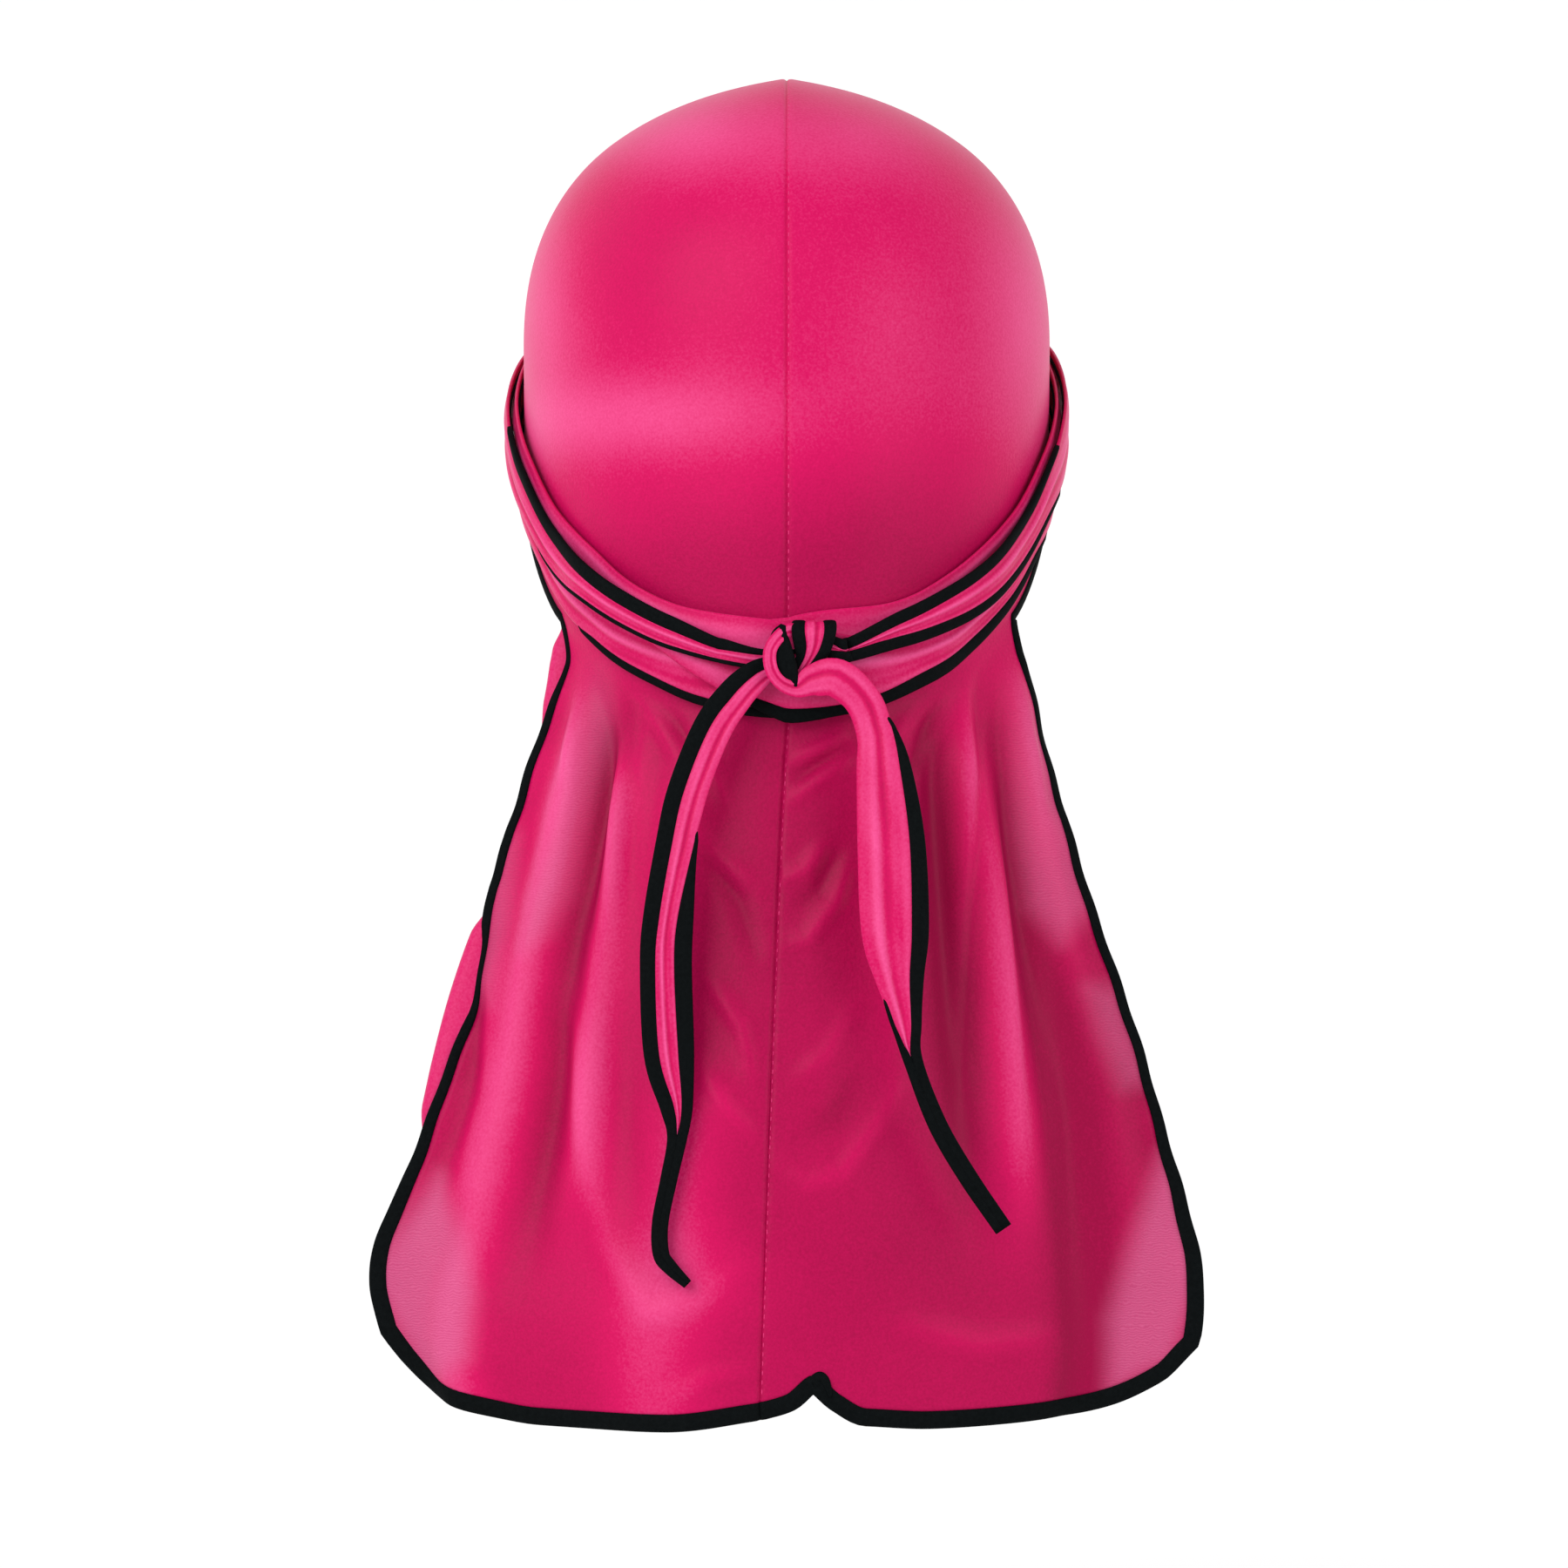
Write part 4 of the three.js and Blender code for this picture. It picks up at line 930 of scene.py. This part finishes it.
def cloth_material():
    """Silky knit: the painted highlights and painted shade that the mesh carries, sheer places painted paler with the
    light let through, a fine grain and a soft sheen.
    """
    material, tree, shader = nodes_of("silky_cloth")
    new = tree.nodes.new
    link = tree.links.new
    place = new("ShaderNodeTexCoord")
    tone = new("ShaderNodeAttribute")
    tone.attribute_name = "tone"
    cloud = new("ShaderNodeTexNoise")
    cloud.inputs["Scale"].default_value = 30
    cloud.inputs["Detail"].default_value = 4
    link(place.outputs["Object"], cloud.inputs["Vector"])
    spread = new("ShaderNodeMapRange")
    spread.inputs["To Min"].default_value = -0.07
    spread.inputs["To Max"].default_value = 0.07
    link(cloud.outputs["Fac"], spread.inputs["Value"])
    total = new("ShaderNodeMath")
    total.operation = "ADD"
    link(tone.outputs["Fac"], total.inputs[0])
    link(spread.outputs["Result"], total.inputs[1])
    # The ramp runs from painted shade through the cloth's own pink to painted highlight
    ramp = new("ShaderNodeValToRGB")
    ramp.color_ramp.elements[0].color = (0.33, 0.001, 0.052, 1)
    ramp.color_ramp.elements[1].color = (0.88, 0.090, 0.300, 1)
    ramp.color_ramp.elements.new(0.5).color = (0.66, 0.004, 0.110, 1)
    weave = new("ShaderNodeTexNoise")
    weave.inputs["Scale"].default_value = 1300
    weave.inputs["Detail"].default_value = 2
    link(place.outputs["Object"], weave.inputs["Vector"])
    grain = new("ShaderNodeMapRange")
    grain.inputs["To Min"].default_value = -0.16
    grain.inputs["To Max"].default_value = 0.16
    link(weave.outputs["Fac"], grain.inputs["Value"])
    speckled = new("ShaderNodeMath")
    speckled.operation = "ADD"
    link(total.outputs[0], speckled.inputs[0])
    link(grain.outputs["Result"], speckled.inputs[1])
    link(speckled.outputs[0], ramp.inputs["Fac"])
    # Painted light let through the sheer places: a paler pink in fine knit stripes, mixed over the satin by the sheer
    # amount
    light_through_mask = new("ShaderNodeAttribute")
    light_through_mask.attribute_name = "sheer"
    wave = new("ShaderNodeTexWave")
    wave.bands_direction = "Z"
    wave.inputs["Scale"].default_value = 420
    wave.inputs["Distortion"].default_value = 9
    link(place.outputs["Object"], wave.inputs["Vector"])
    pale = new("ShaderNodeMix")
    pale.data_type = "RGBA"
    pale.inputs["A"].default_value = (0.60, 0.100, 0.250, 1)
    pale.inputs["B"].default_value = (0.72, 0.150, 0.330, 1)
    link(wave.outputs["Fac"], pale.inputs["Factor"])
    colour = new("ShaderNodeMix")
    colour.data_type = "RGBA"
    strength = new("ShaderNodeMath")
    strength.operation = "MULTIPLY"
    strength.inputs[1].default_value = 0.66
    link(light_through_mask.outputs["Fac"], strength.inputs[0])
    link(strength.outputs[0], colour.inputs["Factor"])
    link(ramp.outputs["Color"], colour.inputs["A"])
    link(pale.outputs["Result"], colour.inputs["B"])
    link(colour.outputs["Result"], shader.inputs["Base Color"])
    bump = new("ShaderNodeBump")
    bump.inputs["Strength"].default_value = 0.2
    bump.inputs["Distance"].default_value = 0.0004
    link(weave.outputs["Fac"], bump.inputs["Height"])
    link(bump.outputs["Normal"], shader.inputs["Normal"])
    shader.inputs["Roughness"].default_value = 0.4
    shader.inputs["Specular IOR Level"].default_value = 0.1
    shader.inputs["Sheen Weight"].default_value = 0.07
    shader.inputs["Sheen Roughness"].default_value = 0.35
    shader.inputs["Sheen Tint"].default_value = (1.0, 0.45, 0.7, 1)
    return material


def tape_material():
    """Stretch binding: matt, nearly black and finely rough."""
    material, tree, shader = nodes_of("binding")
    new = tree.nodes.new
    link = tree.links.new
    place = new("ShaderNodeTexCoord")
    noise = new("ShaderNodeTexNoise")
    noise.inputs["Scale"].default_value = 900
    link(place.outputs["Object"], noise.inputs["Vector"])
    tone = new("ShaderNodeValToRGB")
    tone.color_ramp.elements[0].color = (0.0008, 0.0016, 0.0018, 1)
    tone.color_ramp.elements[1].color = (0.0045, 0.0062, 0.0068, 1)
    link(noise.outputs["Fac"], tone.inputs["Fac"])
    link(tone.outputs["Color"], shader.inputs["Base Color"])
    bump = new("ShaderNodeBump")
    bump.inputs["Strength"].default_value = 0.3
    bump.inputs["Distance"].default_value = 0.0003
    link(noise.outputs["Fac"], bump.inputs["Height"])
    link(bump.outputs["Normal"], shader.inputs["Normal"])
    shader.inputs["Roughness"].default_value = 0.75
    shader.inputs["Specular IOR Level"].default_value = 0.05
    return material


def dress(obj, material, slot, *nodes):
    obj.data.materials.append(material)
    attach(obj, "root")
    if nodes:
        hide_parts(*nodes)
    return obj


# Where the creases of each strap begin
CREASE_PHASE = {"left": 0.0, "right": 2.0}
# How light the added cloth of the left panel and the thread of the right one are
EXTRA_TONE = {"left": 0.62, "right": 0.75}
SILK = cloth_material()
TAPE = tape_material()

borders = {}
notch_columns = round(CAPE_COLUMNS * NOTCH_ACROSS ** (1 / SEAM_CROWDING))
for panel_name, panel_side in (("left", -1), ("right", 1)):
    sheet_points, sheet_quads, crown_grid, hang_grid, lifts = build_panel(panel_side, panel_name)
    sheet_normals = vertex_normals(sheet_points, sheet_quads)
    borders[panel_name] = panel_border(sheet_points, sheet_normals, crown_grid, hang_grid)
    solid_points, solid_faces = thicken(sheet_points, sheet_quads, CLOTH_WALL)
    # Painted highlights, painted shade and the painted light let through the sheer places, carried by the mesh
    tone, sheer = painted_cloth_light(solid_points, np.tile(lifts, 2))
    if panel_name == "left":
        extras = [thicken(*build_flap(Cape(-1, "left"), *span), CLOTH_WALL) for span in FLAPS]
    else:
        extras = [build_stitches()]
    added = sum(len(points) for points, _ in extras)
    panel = make_object(f"cloth_panel_{panel_name}", *merge((solid_points, solid_faces), *extras))
    write_attributes(
        panel,
        tone=np.append(tone, np.full(added, EXTRA_TONE[panel_name])),
        sheer=np.append(sheer, np.zeros(added)),
    )
    dress(panel, SILK, "silky_cloth", f"panel_{panel_name}")

right_edge = borders["right"]
left_edge = borders["left"]
bindings = {
    "left": left_edge.part(slice(0, -1)).joined(right_edge.part(slice(-1, -notch_columns - 2, -1))),
    "right": right_edge.part(slice(0, -notch_columns)),
}
for tape_name, strip in bindings.items():
    shapes = [sweep(strip, oval(0 * strip.width - TUCK, strip.width, TAPE_THICKNESS, 14))]
    if tape_name == "left":
        notch_y = strip.middle[-1, 1]
        shapes.append(folded_tape([(x, notch_y, z, w) for x, z, w in NOTCH_FOLD]))
    tape = make_object(f"bound_edge_{tape_name}", *merge(*shapes))
    dress(tape, TAPE, "binding", f"edge_binding_{tape_name}")

strips = {
    "left": strap_strip("left", KNOT_OFFSET),
    "right": strap_strip("right", -KNOT_OFFSET).mirrored(),
}
for strap_name, strip in strips.items():
    *shape, strap_shading = strap_cloth(strip, CREASE_PHASE[strap_name])
    cloth = make_object(f"cloth_strap_{strap_name}", *shape)
    # The strap's painted highlight and painted shade along its creases
    write_attributes(cloth, tone=strap_shading, sheer=0 * strap_shading)
    dress(cloth, SILK, "silky_cloth", f"strap_{strap_name}")
    for edge_name, upper in (("upper", True), ("lower", False)):
        shapes = [strap_tape(strip, upper)]
        if strap_name == "left" and upper:
            knot_y = head_point(0, KNOT_DEPTH)[1]
            shapes.append(folded_tape([(x, knot_y - layer_out(layer), z, w) for x, z, w, layer in KNOT_FOLD]))
        tape = make_object(f"strap_tape_{strap_name}_{edge_name}", *merge(*shapes))
        dress(tape, TAPE, "binding", f"strap_binding_{strap_name}_{edge_name}")


# Camera, level with the middle of the picture behind the head, and how brightly the stage glows
PHOTO_PIXELS = 1800
PIXEL_SIZE = 0.262
CAMERA_DISTANCE = 2200.0
SENSOR = 36.0
GLOW_BEHIND = 0.4
GLOW_BEYOND = 0.76
CENTRE_Z = -210.3
CENTRE_X = -0.8

camera_data = bpy.data.cameras.new("camera")
camera_data.sensor_width = SENSOR
camera_data.lens = SENSOR * CAMERA_DISTANCE / (PHOTO_PIXELS * PIXEL_SIZE)
camera = bpy.data.objects.new("camera", camera_data)
camera.location = (CENTRE_X * MM, -CAMERA_DISTANCE * MM, CENTRE_Z * MM)
camera.rotation_euler = (math.pi / 2, 0, 0)
bpy.context.collection.objects.link(camera)
bpy.context.scene.camera = camera
bpy.context.scene.view_settings.view_transform = "Standard"


def stage_material():
    """Pale and self-lit, brighter beyond the object than behind the camera."""
    material, tree, shader = nodes_of("pale_floor")
    glow = tree.nodes.new("ShaderNodeAttribute")
    glow.attribute_name = "glow"
    tree.links.new(glow.outputs["Fac"], shader.inputs["Emission Strength"])
    shader.inputs["Base Color"].default_value = (0.32, 0.32, 0.32, 1)
    shader.inputs["Emission Color"].default_value = (1, 1, 1, 1)
    shader.inputs["Roughness"].default_value = 0.95
    shader.inputs["Specular IOR Level"].default_value = 0.0
    return material


def build_floor():
    """A plain pale floor that curves up into a pale wall all round."""
    floor_z, flat, bend, height = -470.0, 2600.0, 2000.0, 5200.0
    curve = np.linspace(0, math.pi / 2, 13)
    radius = np.concatenate([[0, 150, 350, 700, 1500], flat + bend * np.sin(curve), [flat + bend]])
    level = np.concatenate([[0, 0, 0, 0, 0], bend * (1 - np.cos(curve)), [height]]) + floor_z
    angle = np.linspace(0, 2 * math.pi, 97)[:-1]
    points = np.stack([
        radius[:, None] * np.sin(angle), radius[:, None] * np.cos(angle), level[:, None] + 0 * angle,
    ], -1)
    index = point_grid(points)
    index = np.concatenate([index, index[:, :1]], 1)
    index[0] = 0
    points = points.reshape(-1, 3)
    floor = make_object("floor", points, grid_faces(index))
    glow = GLOW_BEHIND + (GLOW_BEYOND - GLOW_BEHIND) * smoothstep(points[:, 1], -600, 250)
    write_attributes(floor, glow=glow)
    floor.data.materials.append(stage_material())


def area_light(name, place, aim, size, power):
    data = bpy.data.lights.new(name, "AREA")
    data.size = size
    data.energy = power
    light = bpy.data.objects.new(name, data)
    light.location = place
    light.rotation_euler = (Vector(aim) - Vector(place)).to_track_quat("-Z", "Y").to_euler()
    bpy.context.collection.objects.link(light)


build_floor()
world = bpy.data.worlds.new("studio")
bpy.context.scene.world = world
world.use_nodes = True
world.node_tree.nodes["Background"].inputs["Color"].default_value = (1, 1, 1, 1)
world.node_tree.nodes["Background"].inputs["Strength"].default_value = 0.5

area_light("key", (-1.1, -1.6, 0.7), (0, 0, -0.15), 1.6, 24)
area_light("fill", (1.3, -1.2, 0.2), (0, 0, -0.2), 1.0, 6)
